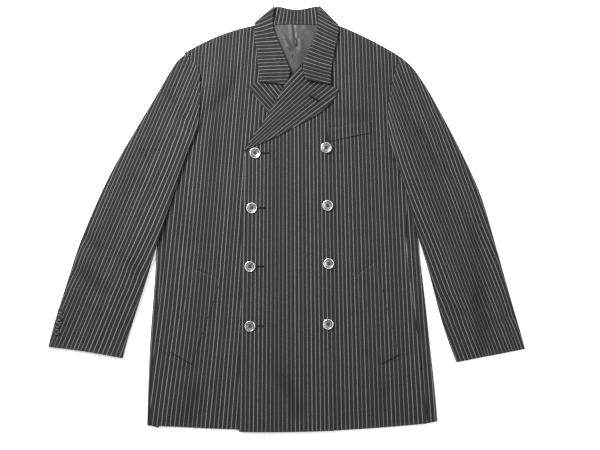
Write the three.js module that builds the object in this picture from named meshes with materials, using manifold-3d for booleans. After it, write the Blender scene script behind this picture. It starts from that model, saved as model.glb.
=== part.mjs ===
// A double-breasted pinstripe jacket laid flat, front up, in millimetres.
// +X runs to the viewer's right, +Y from hem to collar, +Z up out of the front.
// Left and right in the names are the viewer's.
import * as THREE from 'three';
import Module from 'manifold-3d';
import { mergeVertices } from 'three/addons/utils/BufferGeometryUtils.js';

// Driving dimensions
const CLOTH = 1.8; // wool with its interlining
const FRONT_CLOTH = 2.2; // fronts, with canvas behind the wool
const SLEEVE_CLOTH = 2.2; // wool with the sleeve's lining
const LINING_CLOTH = 1.0;
const WELT_CLOTH = 1.6;
const GAP = 0.3; // clearance between pieces that lie on each other
const EDGE_BAND = 5; // first column of a piece, where its edge thins and rolls down
const EDGE_THINNING = 0.5;
const LEAST_FOLD = 0.15; // smallest inner radius of a folded edge
const ROW_STEP = 36; // longest step between two sections

const FRONT_BUTTON = {
  diameter: 21, height: 3.4, rim: 2.0, dish: 1.1, shoulder: 1.2, hole: 1.9, spacing: 3.6, sides: 16,
};
const CUFF_BUTTON = {
  diameter: 11.5, height: 2.6, rim: 1.3, dish: 0.7, shoulder: 0.8, hole: 1.2, spacing: 2.3, sides: 12,
};
const HOLE_SIDES = 6;

const PILE_CELL = 3;
const PILE_HALF = 510;
const TRIANGLE_MARGIN = 0.35; // how far past its sides a laid triangle still counts
const TINY_AREA = 1e-6;

const smooth = (t) => THREE.MathUtils.smoothstep(t, 0, 1);

// A smooth curve through flat points.
function curveThrough(points) {
  const places = points.map(([x, y]) => new THREE.Vector3(x, y, 0));
  return new THREE.CatmullRomCurve3(places, false, 'centripetal');
}

// The height of everything laid so far, kept on a square raster over the floor.
class Pile {
  constructor() {
    this.side = Math.ceil((2 * PILE_HALF) / PILE_CELL) + 1;
    this.top = new Float32Array(this.side * this.side);
  }

  cell(x, y) {
    return [Math.round((x + PILE_HALF) / PILE_CELL), Math.round((y + PILE_HALF) / PILE_CELL)];
  }

  // Raises every raster cell that one flat-on triangle covers.
  addTriangle(a, b, c) {
    const area = (b.x - a.x) * (c.y - a.y) - (c.x - a.x) * (b.y - a.y);
    if (Math.abs(area) < TINY_AREA) return;
    const [i0, j0] = this.cell(Math.min(a.x, b.x, c.x), Math.min(a.y, b.y, c.y));
    const [i1, j1] = this.cell(Math.max(a.x, b.x, c.x), Math.max(a.y, b.y, c.y));
    const high = Math.max(a.z, b.z, c.z);
    for (let i = i0; i <= i1; i++) {
      for (let j = j0; j <= j1; j++) {
        const x = i * PILE_CELL - PILE_HALF;
        const y = j * PILE_CELL - PILE_HALF;
        const v = ((x - a.x) * (c.y - a.y) - (c.x - a.x) * (y - a.y)) / area;
        const w = ((b.x - a.x) * (y - a.y) - (x - a.x) * (b.y - a.y)) / area;
        if (Math.min(v, w, 1 - v - w) < -TRIANGLE_MARGIN) continue;
        const z = Math.min(high, a.z + v * (b.z - a.z) + w * (c.z - a.z));
        const k = i * this.side + j;
        if (z > this.top[k]) this.top[k] = z;
      }
    }
  }

  // Adds a stretch of a piece's columns, from its outer or its inner points.
  cover(rows, face = 'outer', from = 0, to = rows[0].length - 1) {
    for (let r = 0; r + 1 < rows.length; r++) {
      for (let k = from; k < to; k++) {
        const [a, b] = [rows[r][k][face], rows[r][k + 1][face]];
        const [c, d] = [rows[r + 1][k + 1][face], rows[r + 1][k][face]];
        this.addTriangle(a, b, c);
        this.addTriangle(a, c, d);
      }
    }
  }

  // The height that cloth laid at x, y rests at: the highest thing within flat, sloping away to ramp.
  level(x, y, { flat, ramp }) {
    const [ci, cj] = this.cell(x, y);
    const reach = Math.ceil(ramp / PILE_CELL);
    let level = 0;
    for (let i = ci - reach; i <= ci + reach; i++) {
      for (let j = cj - reach; j <= cj + reach; j++) {
        const top = this.top[i * this.side + j];
        if (!(top > level)) continue;
        const away = Math.hypot(i * PILE_CELL - PILE_HALF - x, j * PILE_CELL - PILE_HALF - y);
        if (away > ramp) continue;
        level = Math.max(level, top * (1 - smooth((away - flat) / (ramp - flat))));
      }
    }
    return level;
  }
}

// A table of sections becomes evenly spaced ones, along smooth curves through the table's rows.
function sectionsOf(table, step) {
  const names = [...new Set(table.flatMap((row) => Object.keys(row)))];
  const edgeA = curveThrough(table.map(({ ax, ay }) => [ax, ay]));
  const edgeB = curveThrough(table.map(({ bx, by }) => [bx, by]));
  const last = table.length - 1;
  const sections = [];
  for (let i = 0; i < last; i++) {
    const [from, to] = [table[i], table[i + 1]];
    const spanA = Math.hypot(to.ax - from.ax, to.ay - from.ay);
    const spanB = Math.hypot(to.bx - from.bx, to.by - from.by);
    const count = Math.max(1, Math.ceil(Math.max(spanA, spanB) / step - 0.3));
    for (let k = i === 0 ? 0 : 1; k <= count; k++) {
      const t = k / count;
      const section = {};
      for (const name of names) section[name] = THREE.MathUtils.lerp(from[name] ?? 0, to[name] ?? 0, t);
      const a = edgeA.getPoint((i + t) / last);
      const b = edgeB.getPoint((i + t) / last);
      sections.push({ ...section, ax: a.x, ay: a.y, bx: b.x, by: b.y });
    }
  }
  return sections;
}

// Places across a width, close together at both ends.
function columnsAcross(start, end, cells, band) {
  const narrow = Math.min(band, (end - start) / 4);
  const wide = (end - start - 2 * narrow) / (cells - 2);
  const inner = Array.from({ length: cells - 1 }, (_, k) => start + narrow + k * wide);
  return [start, ...inner, end];
}

// The radii of an edge folded under cloth that lies at a height.
function foldRadii(height, wall) {
  const inner = Math.max(LEAST_FOLD, (height - wall) / 2);
  return { inner, outer: inner + wall };
}

// The points of a folded edge: a half circle round its centre, then a lip that lies beneath.
function foldedEdge(centre, radii, side, { wall, lip, arc }) {
  const points = Array.from({ length: arc }, (_, k) => {
    const angle = Math.PI / 2 + (Math.PI * (k + 1)) / arc;
    const [c, s] = [Math.cos(angle), Math.sin(angle)];
    return {
      outer: [centre + side * c * radii.outer, radii.outer + s * radii.outer],
      inner: [centre + side * c * radii.inner, radii.outer + s * radii.inner],
    };
  });
  return [...points, { outer: [centre + side * lip, 0], inner: [centre + side * lip, wall] }];
}

// The line across one section as pairs of outer and inner points, u across and h above what it lies on.
function crossLine({ width, wall, cells, under, startLip = 0, endLip = 0, arc = 4, band = EDGE_BAND }) {
  const start = startLip > 0 ? foldRadii(under(0), wall) : null;
  const end = endLip > 0 ? foldRadii(under(width), wall) : null;
  const u0 = start ? start.outer : 0;
  const u1 = end ? width - end.outer : width;
  const places = columnsAcross(u0, u1, cells, band);
  const line = places.map((u, k) => {
    const atEdge = k === 0 || k === places.length - 1;
    const fold = k === 0 ? start : end;
    const rise = atEdge && fold ? 2 * fold.inner + wall : under(u);
    const thinning = atEdge && !fold ? EDGE_THINNING : 0;
    return { outer: [u, rise + wall - thinning], inner: [u, rise] };
  });
  const before = start ? foldedEdge(u0, start, 1, { wall, lip: startLip, arc }).reverse() : [];
  const after = end ? foldedEdge(u1, end, -1, { wall, lip: endLip, arc }) : [];
  return [...before, ...line, ...after];
}

// Lays a piece on the pile, section by section, and returns its rows of outer and inner points.
// rollA and rollB are the widths over which its sides roll down, lipA and lipB its folded lips.
function layRows(pile, table, {
  step = ROW_STEP, wall, cells, rest, lift = 0, rollA = 0, rollB = 0, lipA = 0, lipB = 0,
  edgeCurve = null, arc, band, inset = 0,
}) {
  return sectionsOf(table, step).map((section) => {
    const a = new THREE.Vector2(section.ax, section.ay);
    const b = new THREE.Vector2(section.bx, section.by);
    const along = b.clone().sub(a).normalize();
    const across = new THREE.Vector2(-along.y, along.x);
    const full = a.distanceTo(b);
    const width = full - 2 * inset;
    const low = section.edge ?? 0;
    const high = section.lift ?? lift;
    const under = (u) => {
      const inA = rollA > 0 ? smooth(u / Math.min(rollA, width / 2)) : 1;
      const inB = rollB > 0 ? smooth((width - u) / Math.min(rollB, width / 2)) : 1;
      return low + (high - low) * inA * inB;
    };
    const place = ([u, h]) => {
      const s = THREE.MathUtils.clamp((u + inset) / full, 0, 1);
      const bend = (section.bow ?? 0) * 4 * s * (1 - s);
      const at = a.clone().addScaledVector(along, u + inset).addScaledVector(across, bend);
      if (edgeCurve && section.hug > 0) {
        const curve = edgeCurve.getPoint(s);
        const straight = edgeCurve.getPoint(0).lerp(edgeCurve.getPoint(1), s);
        at.x += (curve.x - straight.x) * section.hug;
        at.y += (curve.y - straight.y) * section.hug;
      }
      const level = pile.level(at.x, at.y, rest);
      return new THREE.Vector3(at.x, at.y, level + Math.min(level, GAP) + h);
    };
    const line = crossLine({ width, wall, cells, under, startLip: lipA, endLip: lipB, arc, band });
    return line.map(({ outer, inner }) => ({ outer: place(outer), inner: place(inner) }));
  });
}

// Two grids of points, outer and inner, closed along all four edges.
function shellGeometry(rows) {
  const n = rows[0].length;
  const last = rows.length - 1;
  const numbersOf = (face) => rows.flat().flatMap((point) => point[face].toArray());
  const positions = [...numbersOf('outer'), ...numbersOf('inner')];
  const outer = (r, k) => r * n + k;
  const inner = (r, k) => rows.length * n + r * n + k;
  const index = [];
  const quad = (a, b, c, d) => index.push(a, b, c, a, c, d);
  for (let r = 0; r < last; r++) {
    for (let k = 0; k < n - 1; k++) {
      quad(outer(r, k), outer(r, k + 1), outer(r + 1, k + 1), outer(r + 1, k));
      quad(inner(r, k), inner(r + 1, k), inner(r + 1, k + 1), inner(r, k + 1));
    }
    quad(outer(r, 0), outer(r + 1, 0), inner(r + 1, 0), inner(r, 0));
    quad(outer(r, n - 1), inner(r, n - 1), inner(r + 1, n - 1), outer(r + 1, n - 1));
  }
  for (let k = 0; k < n - 1; k++) {
    quad(outer(0, k), inner(0, k), inner(0, k + 1), outer(0, k + 1));
    quad(outer(last, k), outer(last, k + 1), inner(last, k + 1), inner(last, k));
  }
  const geometry = new THREE.BufferGeometry();
  geometry.setAttribute('position', new THREE.Float32BufferAttribute(positions, 3));
  geometry.setIndex(index);
  return facingOut(geometry);
}

// Turns a closed geometry's faces outwards where its rows ran the other way round.
function facingOut(geometry) {
  const p = geometry.attributes.position;
  const index = geometry.index.array;
  const [a, b, c] = [new THREE.Vector3(), new THREE.Vector3(), new THREE.Vector3()];
  let volume = 0;
  for (let i = 0; i < index.length; i += 3) {
    a.fromBufferAttribute(p, index[i]);
    b.fromBufferAttribute(p, index[i + 1]);
    c.fromBufferAttribute(p, index[i + 2]);
    volume += a.dot(b.cross(c));
  }
  if (volume < 0) {
    for (let i = 0; i < index.length; i += 3) [index[i + 1], index[i + 2]] = [index[i + 2], index[i + 1]];
  }
  return geometry;
}

const wool = () => new THREE.MeshStandardMaterial({ color: 0x3a3a3d, roughness: 0.9, metalness: 0 });
const satin = () => new THREE.MeshStandardMaterial({ color: 0x6a7072, roughness: 0.55, metalness: 0 });
const horn = () => new THREE.MeshStandardMaterial({ color: 0x4a4c50, roughness: 0.2, metalness: 0 });
const cuffHorn = () => new THREE.MeshStandardMaterial({ color: 0x38393c, roughness: 0.4, metalness: 0 });

const jacket = new THREE.Group();
jacket.name = 'double_breasted_jacket';
const pile = new Pile();

function addMesh(name, geometry, material) {
  const mesh = new THREE.Mesh(geometry, material);
  mesh.name = name;
  jacket.add(mesh);
  return mesh;
}

function addCloth(name, rows, material = wool()) {
  return addMesh(name, shellGeometry(rows), material);
}

// How closely a piece follows what it lies on.
const WELTED = { flat: 7, ramp: 9 };
const SNUG = { flat: 9, ramp: 20 };
const DRAPED = { flat: 12, ramp: 48 };
const CLOSE = { flat: 14, ramp: 30 };
const HUGGING = { flat: 18, ramp: 26 };
const BROAD = { flat: 26, ramp: 60 };

// Collar at the back of the neck: the stand shows, folds over at the top and falls behind the back.
const STAND_UNDER = CLOTH + GAP + CLOTH + GAP + LINING_CLOTH + GAP;
const COLLAR_FOLD_UNDER = CLOTH + 2.4;
const FALL_INSET = 5; // how much shorter the fall's lip is than its edge line
const STAND_RISE = { from: 4, over: 14 }; // where the stand climbs from the fold to the layers it covers
const COLLAR_BACK_ROWS = 12;
const COLLAR_BACK = [
  { standX: -32, standY: 389, foldX: -24, foldY: 425.5, fallX: -64, fallY: 391 },
  { standX: -24, standY: 390, foldX: -15, foldY: 427.6, fallX: -50, fallY: 384 },
  { standX: -8, standY: 390.7, foldX: 1, foldY: 423.8, fallX: -24, fallY: 373 },
  { standX: 20, standY: 391, foldX: 22, foldY: 421, fallX: 22, fallY: 366 },
  { standX: 46, standY: 390.7, foldX: 42, foldY: 423.6, fallX: 62, fallY: 370 },
  { standX: 64, standY: 390, foldX: 61, foldY: 428.2, fallX: 88, fallY: 378 },
  { standX: 72, standY: 389, foldX: 70, foldY: 425.5, fallX: 103, fallY: 386 },
];

function collarBackRows() {
  const stand = curveThrough(COLLAR_BACK.map(({ standX, standY }) => [standX, standY]));
  const crest = curveThrough(COLLAR_BACK.map(({ foldX, foldY }) => [foldX, foldY]));
  const fall = curveThrough(COLLAR_BACK.map(({ fallX, fallY }) => [fallX, fallY]));
  const radius = foldRadii(COLLAR_FOLD_UNDER, CLOTH).outer;
  const under = (u) => {
    const climb = smooth((u - STAND_RISE.from) / STAND_RISE.over);
    return THREE.MathUtils.lerp(COLLAR_FOLD_UNDER, STAND_UNDER, climb);
  };
  return Array.from({ length: COLLAR_BACK_ROWS + 1 }, (_, r) => {
    const [s, f, l] = [stand, crest, fall].map((curve) => curve.getPoint(r / COLLAR_BACK_ROWS));
    const standWay = s.clone().sub(f);
    const fallWay = l.clone().sub(f);
    const startLip = fallWay.length() - FALL_INSET;
    const line = crossLine({
      width: standWay.length(), wall: CLOTH, cells: 5, under, startLip, arc: 5, band: 4,
    });
    const place = ([u, h]) => {
      const beneath = h < radius && u > radius;
      const way = (beneath ? fallWay : standWay).clone().normalize();
      const at = f.clone().addScaledVector(way, u);
      return new THREE.Vector3(at.x, at.y, h);
    };
    return line.map(({ outer, inner }) => ({ outer: place(outer), inner: place(inner) }));
  });
}

const collarBack = collarBackRows();
addCloth('collar_back', collarBack);
pile.cover(collarBack, 'inner', 0, 1);

// Back: outline from hem to neck, its sides inside the lips of the two side panels.
const BACK = [
  { ax: -251, ay: -408, bx: 273, by: -404, bow: -14 },
  { ax: -250, ay: -385, bx: 272, by: -385, bow: -8 },
  { ax: -247, ay: -263, bx: 260, by: -263 },
  { ax: -239, ay: -161, bx: 250, by: -155 },
  { ax: -233, ay: -60, bx: 238, by: -60 },
  { ax: -231, ay: 20, bx: 233, by: 20 },
  { ax: -232, ay: 100, bx: 232, by: 100 },
  { ax: -212, ay: 150, bx: 216, by: 138 },
  { ax: -184, ay: 190, bx: 209, by: 176 },
  { ax: -178, ay: 230, bx: 208, by: 225 },
  { ax: -178, ay: 280, bx: 216, by: 275 },
  { ax: -200, ay: 318, bx: 231, by: 313, bow: 6 },
  { ax: -170, ay: 342, bx: 190, by: 340, bow: 10 },
  { ax: -112, ay: 365, bx: 148, by: 360, bow: 12 },
  { ax: -66, ay: 383, bx: 108, by: 379, bow: 9 },
];
const back = layRows(pile, BACK, { step: 70, wall: CLOTH, cells: 8, rest: BROAD });
addCloth('back', back);

// Side panels: folded round the side edges, the front lip showing beside each front's seam.
const BACK_LIP = 22;
const SIDE_UNDER = CLOTH + 1.0;
const SIDE_LEFT = [
  { ax: -273.2, ay: -413.5, bx: -279, by: -412 },
  { ax: -270.5, ay: -340, bx: -277, by: -340 },
  { ax: -266, ay: -263, bx: -274, by: -263 },
  { ax: -262, ay: -215, bx: -271, by: -215 },
  { ax: -253, ay: -141, bx: -265, by: -141 },
  { ax: -242, ay: -71, bx: -260, by: -71 },
  { ax: -241, ay: 0, bx: -258, by: 0 },
  { ax: -241, ay: 98, bx: -259, by: 98 },
];
const SIDE_RIGHT = [
  { ax: 284, ay: -408.5, bx: 304, by: -404.5 },
  { ax: 276.5, ay: -345, bx: 298.5, by: -340 },
  { ax: 268, ay: -263, bx: 290, by: -263 },
  { ax: 254, ay: -160, bx: 279, by: -160 },
  { ax: 246, ay: -100, bx: 271, by: -95 },
  { ax: 241, ay: -55, bx: 266, by: -52 },
  { ax: 242, ay: 0, bx: 264, by: 0 },
  { ax: 241, ay: 96, bx: 263, by: 98 },
];
for (const [name, table] of [['side_panel_left', SIDE_LEFT], ['side_panel_right', SIDE_RIGHT]]) {
  const rows = layRows(new Pile(), table, {
    step: 60, wall: CLOTH, cells: 3, lift: SIDE_UNDER, lipB: BACK_LIP, rest: SNUG, band: 3,
  });
  addCloth(name, rows);
  pile.cover(rows);
}
pile.cover(back);

// Back neck lining, where the open neck shows it.
const LINING = [
  { ax: -32, ay: 397, bx: 76, by: 397 },
  { ax: -38, ay: 368, bx: 76, by: 368 },
  { ax: -30, ay: 335, bx: 66, by: 335 },
  { ax: -12, ay: 305, bx: 50, by: 305 },
  { ax: 2, ay: 276, bx: 36, by: 276 },
];
const lining = layRows(pile, LINING, { wall: LINING_CLOTH, cells: 6, rest: SNUG });
addCloth('back_neck_lining', lining, satin());
pile.cover(lining);
pile.cover(collarBack, 'outer', 3);

// Armholes, from the underarm fold up to the shoulder.
const ARMHOLE_LEFT = curveThrough([
  [-178, 183], [-175.5, 205], [-175, 235], [-173.5, 265], [-173, 285], [-176, 300], [-185, 314], [-202, 331],
]);
const ARMHOLE_RIGHT = curveThrough([
  [212, 143], [208, 172], [206, 200], [206, 230], [210, 252], [215, 276], [220, 296], [230, 322],
]);

// Fronts: the left one lies underneath, the right one laps over it.
const FRONT_UNDER = [
  { ax: -272.4, ay: -412.5, bx: 96, by: -424, bow: -3.2, lift: 0.4 },
  { ax: -269.7, ay: -340, bx: 98, by: -345, lift: 1.6 },
  { ax: -265.2, ay: -263, bx: 99, by: -263, lift: 2.4 },
  { ax: -261.2, ay: -215, bx: 99, by: -215, lift: 2.6 },
  { ax: -252.2, ay: -141, bx: 99, by: -141, lift: 2.8 },
  { ax: -241.2, ay: -71, bx: 99, by: -71, lift: 2.8 },
  { ax: -240.2, ay: 0, bx: 99, by: 0, lift: 2.8 },
  { ax: -240.2, ay: 98, bx: 98, by: 100, lift: 3 },
  { ax: -222, ay: 140, bx: 96, by: 134, lift: 3 },
  { ax: -200, ay: 165, bx: 76, by: 173, lift: 3 },
  { ax: -181, ay: 188, bx: 60, by: 197, lift: 3 },
  { ax: -175, ay: 235, bx: 37, by: 236, lift: 3.2 },
  { ax: -173.4, ay: 270, bx: 17, by: 272, lift: 3.2 },
  { ax: -174.4, ay: 294, bx: 4, by: 302, lift: 3.2 },
  { ax: -183, ay: 311, bx: -14, by: 332, lift: 2.6 },
  { ax: -191, ay: 320, bx: -32, by: 360, bow: 2, lift: 1.6 },
  { ax: -199, ay: 328, bx: -46, by: 378, bow: 5, lift: 0.6 },
  { ax: -204.5, ay: 333, bx: -62, by: 389, bow: 7.5, lift: 0 },
];
const FRONT_OVER = [
  { ax: -94, ay: -425.5, bx: 283.2, by: -408.5, bow: -6, lift: 0.3 },
  { ax: -93.5, ay: -345, bx: 275.7, by: -345, lift: 0.8 },
  { ax: -92.5, ay: -263, bx: 267.2, by: -263, lift: 1.2 },
  { ax: -89.5, ay: -160, bx: 253.2, by: -160, lift: 1.4 },
  { ax: -90, ay: -95, bx: 245.2, by: -98, lift: 1.6 },
  { ax: -89, ay: -40, bx: 240.2, by: -55, lift: 1.6 },
  { ax: -88, ay: 15, bx: 241.2, by: 0, lift: 1.6 },
  { ax: -85, ay: 95, bx: 240.2, by: 94, lift: 1.8 },
  { ax: -84, ay: 128, bx: 228, by: 124, lift: 1.8 },
  { ax: -78, ay: 148, bx: 215, by: 144, lift: 1.8 },
  { ax: -60, ay: 175, bx: 208, by: 172, lift: 1.8 },
  { ax: -44, ay: 197, bx: 206, by: 200, lift: 1.8 },
  { ax: -24, ay: 228, bx: 206, by: 230, lift: 1.8 },
  { ax: -10, ay: 253, bx: 210, by: 252, lift: 1.8 },
  { ax: 5, ay: 279, bx: 215, by: 276, lift: 1.8 },
  { ax: 26, ay: 306, bx: 220, by: 294, lift: 1.6 },
  { ax: 48, ay: 332, bx: 225, by: 307, bow: 1, lift: 1.2 },
  { ax: 70, ay: 358, bx: 229, by: 315, bow: 2, lift: 0.8 },
  { ax: 88, ay: 376, bx: 232, by: 319, bow: 3, lift: 0.3 },
  { ax: 104, ay: 389, bx: 236, by: 322, bow: 4, lift: 0 },
];
const FRONT_CELLS = 11;
const frontUnder = layRows(pile, FRONT_UNDER, {
  wall: FRONT_CLOTH, cells: FRONT_CELLS, rollA: 46, rollB: 40, rest: SNUG,
});
addCloth('front_under', frontUnder);
pile.cover(frontUnder);

// Lapels lie on their fronts, from the roll line at b to the outer edge at a, or the other way round.
const LAPEL_UNDER = [
  { ax: 93, ay: 130, bx: 101, by: 131 },
  { ax: 74, ay: 145, bx: 96, by: 146 },
  { ax: 44, ay: 160, bx: 82, by: 168 },
  { ax: 16, ay: 175, bx: 66, by: 191 },
  { ax: -9, ay: 190, bx: 52, by: 213 },
  { ax: -34, ay: 210, bx: 36, by: 240 },
  { ax: -48, ay: 228, bx: 24, by: 262 },
  { ax: -60, ay: 244, bx: 12, by: 282 },
  { ax: -73.5, ay: 263, bx: 0, by: 302 },
  { ax: -71, ay: 271, bx: -10, by: 316, bow: -8 },
];
const LAPEL_OVER = [
  { ax: -85, ay: 134, bx: -82, by: 137.5 },
  { ax: -79, ay: 146, bx: -57, by: 149.5 },
  { ax: -67, ay: 165, bx: -31, by: 160 },
  { ax: -54, ay: 184, bx: -2, by: 174 },
  { ax: -40, ay: 203, bx: 23, by: 188 },
  { ax: -27, ay: 224, bx: 47, by: 200 },
  { ax: -13, ay: 248, bx: 68.5, by: 215 },
  { ax: 0, ay: 271, bx: 86, by: 229.5 },
  { ax: 11, ay: 287, bx: 99, by: 245 },
  { ax: 28, ay: 307, bx: 106, by: 261, bow: -6 },
];
const LAPEL_LAY = { step: 20, wall: CLOTH, cells: 8, rest: SNUG };
const lapelUnder = layRows(pile, LAPEL_UNDER, LAPEL_LAY);
addCloth('lapel_under', lapelUnder);
pile.cover(lapelUnder);

// Collar legs: the fall lies out over the fronts and folds under along the neck.
const COLLAR_LIP = 18;
const LEG_LAY = { step: 20, wall: CLOTH, cells: 6, lift: CLOTH + 0.7, rest: HUGGING, band: 4 };
const COLLAR_LEFT = [
  { ax: -63, ay: 393.5, bx: -22, by: 427.5 },
  { ax: -64, ay: 376, bx: -26, by: 407 },
  { ax: -61.5, ay: 356, bx: -26, by: 386 },
  { ax: -59, ay: 337, bx: -16, by: 360 },
  { ax: -57, ay: 318, bx: -5, by: 332 },
  { ax: -55, ay: 300, bx: 6, by: 305 },
  { ax: -54, ay: 286, bx: 11, by: 291 },
  { ax: -53, ay: 275, bx: 1, by: 270 },
];
const collarLeft = layRows(pile, COLLAR_LEFT, { ...LEG_LAY, lipB: COLLAR_LIP });
addCloth('collar_left', collarLeft);
pile.cover(collarLeft);

const frontOver = layRows(pile, FRONT_OVER, {
  wall: FRONT_CLOTH, cells: FRONT_CELLS, rollA: 190, rollB: 46, rest: CLOSE,
});
addCloth('front_over', frontOver);
pile.cover(frontOver);

const lapelOver = layRows(pile, LAPEL_OVER, LAPEL_LAY);
addCloth('lapel_over', lapelOver);
pile.cover(lapelOver);

const COLLAR_RIGHT = [
  { ax: 66, ay: 428, bx: 106.5, by: 387.5 },
  { ax: 64, ay: 407, bx: 104, by: 370 },
  { ax: 62, ay: 380, bx: 99, by: 348 },
  { ax: 55, ay: 357, bx: 94, by: 325 },
  { ax: 43, ay: 336, bx: 91, by: 306 },
  { ax: 34, ay: 316, bx: 90, by: 289 },
  { ax: 33, ay: 298, bx: 89, by: 279 },
  { ax: 39, ay: 278, bx: 88, by: 271 },
];
const collarRight = layRows(pile, COLLAR_RIGHT, { ...LEG_LAY, lipA: COLLAR_LIP });
addCloth('collar_right', collarRight);
pile.cover(collarRight);

// Sleeves: flattened tubes beside the body, their inner edges lying on the fronts.
const SLEEVE_LEFT = [
  { ax: -176, ay: 184, bx: -201, by: 331, hug: 1, edge: 2.9, lift: 0.3 },
  { ax: -180, ay: 172, bx: -218, by: 320, hug: 0.8, edge: 3.6, lift: 3.4 },
  { ax: -187, ay: 156, bx: -237.8, by: 288, hug: 0.5, edge: 4.6, lift: 5.8 },
  { ax: -196, ay: 134, bx: -259.8, by: 250, hug: 0.2, edge: 5, lift: 6.2 },
  { ax: -206, ay: 106, bx: -286.3, by: 206, edge: 5, lift: 6.2 },
  { ax: -219, ay: 64, bx: -315.6, by: 157, edge: 5, lift: 6.2 },
  { ax: -231, ay: 28, bx: -343.6, by: 110, edge: 5, lift: 6.2 },
  { ax: -244, ay: -10, bx: -367.6, by: 62, edge: 5, lift: 6.2 },
  { ax: -257.5, ay: -50, bx: -390.4, by: 10, edge: 5, lift: 6.2 },
  { ax: -272, ay: -100, bx: -412.6, by: -42, edge: 5, lift: 6.2 },
  { ax: -287.5, ay: -148, bx: -429.6, by: -94, edge: 5, lift: 6.2 },
  { ax: -304.5, ay: -200, bx: -447.5, by: -152, edge: 5, lift: 6 },
  { ax: -317, ay: -238, bx: -463.4, by: -200, edge: 5, lift: 5.8 },
  { ax: -327, ay: -278, bx: -477.3, by: -255, edge: 4.6, lift: 5, bow: -2 },
];
const SLEEVE_RIGHT = [
  { ax: 210, ay: 144, bx: 229, by: 324, hug: 1, edge: 2.9, lift: 0.3 },
  { ax: 213, ay: 136, bx: 246, by: 314, hug: 0.8, edge: 3.6, lift: 3.4 },
  { ax: 218, ay: 124, bx: 266.5, by: 289, hug: 0.5, edge: 4.6, lift: 5.8 },
  { ax: 225, ay: 107, bx: 287, by: 257, hug: 0.2, edge: 5, lift: 6.2 },
  { ax: 232, ay: 84, bx: 307.5, by: 219, edge: 5, lift: 6.2 },
  { ax: 240, ay: 55, bx: 330, by: 178, edge: 5, lift: 6.2 },
  { ax: 248, ay: 22, bx: 355, by: 128, edge: 5, lift: 6.2 },
  { ax: 257, ay: -12, bx: 380.5, by: 76, edge: 5, lift: 6.2 },
  { ax: 268.5, ay: -50, bx: 398.5, by: 28, edge: 5, lift: 6.2 },
  { ax: 282.5, ay: -94, bx: 414.5, by: -30, edge: 5, lift: 6.2 },
  { ax: 294.5, ay: -141, bx: 430.5, by: -88, edge: 5, lift: 6.2 },
  { ax: 306.5, ay: -188, bx: 448, by: -150, edge: 5, lift: 6 },
  { ax: 320, ay: -232, bx: 463.5, by: -200, edge: 5, lift: 5.8 },
  { ax: 341, ay: -286, bx: 479.5, by: -259, edge: 4.6, lift: 5 },
];
const SLEEVE_STEP = 60;
const SLEEVE_LIP = 7;
const UNDER_INSET = 15;
const UNDER_FIRST_ROW = 1;
const SLEEVES = { left: [SLEEVE_LEFT, ARMHOLE_LEFT], right: [SLEEVE_RIGHT, ARMHOLE_RIGHT] };
for (const [side, [table, edgeCurve]] of Object.entries(SLEEVES)) {
  const common = { step: SLEEVE_STEP, wall: SLEEVE_CLOTH, rest: DRAPED, edgeCurve };
  const top = layRows(pile, table, {
    ...common, cells: 10, rollA: 30, rollB: 30, lipA: SLEEVE_LIP, lipB: SLEEVE_LIP,
  });
  const flatTable = table.slice(UNDER_FIRST_ROW).map((row) => ({ ...row, edge: 0, lift: 0 }));
  const under = layRows(pile, flatTable, { ...common, cells: 7, inset: UNDER_INSET });
  addCloth(`sleeve_${side}_top`, top);
  addCloth(`sleeve_${side}_under`, under);
  pile.cover(top);
}

// Welts, laid on their fronts.
const BREAST_WELT = [
  { ax: 84, ay: 155.5, bx: 83, by: 181 },
  { ax: 113, ay: 162.5, bx: 112, by: 187 },
  { ax: 142, ay: 168.5, bx: 141, by: 192.5 },
  { ax: 171, ay: 174, bx: 170, by: 197 },
];
const HIP_WELT_LEFT = [
  { ax: -182, ay: -99, bx: -130, by: -119 },
  { ax: -199, ay: -153, bx: -149, by: -175 },
  { ax: -217, ay: -208, bx: -169, by: -232 },
  { ax: -235, ay: -263, bx: -189, by: -289 },
];
const HIP_WELT_RIGHT = [
  { ax: 178, ay: -84, bx: 133, by: -117 },
  { ax: 194, ay: -146, bx: 152, by: -174 },
  { ax: 210, ay: -208, bx: 171, by: -231 },
  { ax: 226, ay: -270, bx: 190, by: -289 },
];
const WELTS = { breast_welt: BREAST_WELT, hip_welt_left: HIP_WELT_LEFT, hip_welt_right: HIP_WELT_RIGHT };
for (const [name, table] of Object.entries(WELTS)) {
  addCloth(name, layRows(pile, table, { step: 24, wall: WELT_CLOTH, cells: 4, rest: WELTED, band: 3 }));
}

// Buttons: a dished disc with a raised rim and four holes.
const wasm = await Module();
wasm.setup();

function manifoldOf(geometry) {
  const bare = geometry.clone();
  bare.deleteAttribute('normal');
  bare.deleteAttribute('uv');
  const merged = mergeVertices(bare);
  return new wasm.Manifold(new wasm.Mesh({
    numProp: 3,
    vertProperties: new Float32Array(merged.attributes.position.array),
    triVerts: new Uint32Array(merged.index.array),
  }));
}

function geometryOf(manifold) {
  const mesh = manifold.getMesh();
  const geometry = new THREE.BufferGeometry();
  geometry.setAttribute('position', new THREE.Float32BufferAttribute(mesh.vertProperties, 3));
  geometry.setIndex(Array.from(mesh.triVerts));
  return geometry;
}

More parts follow.
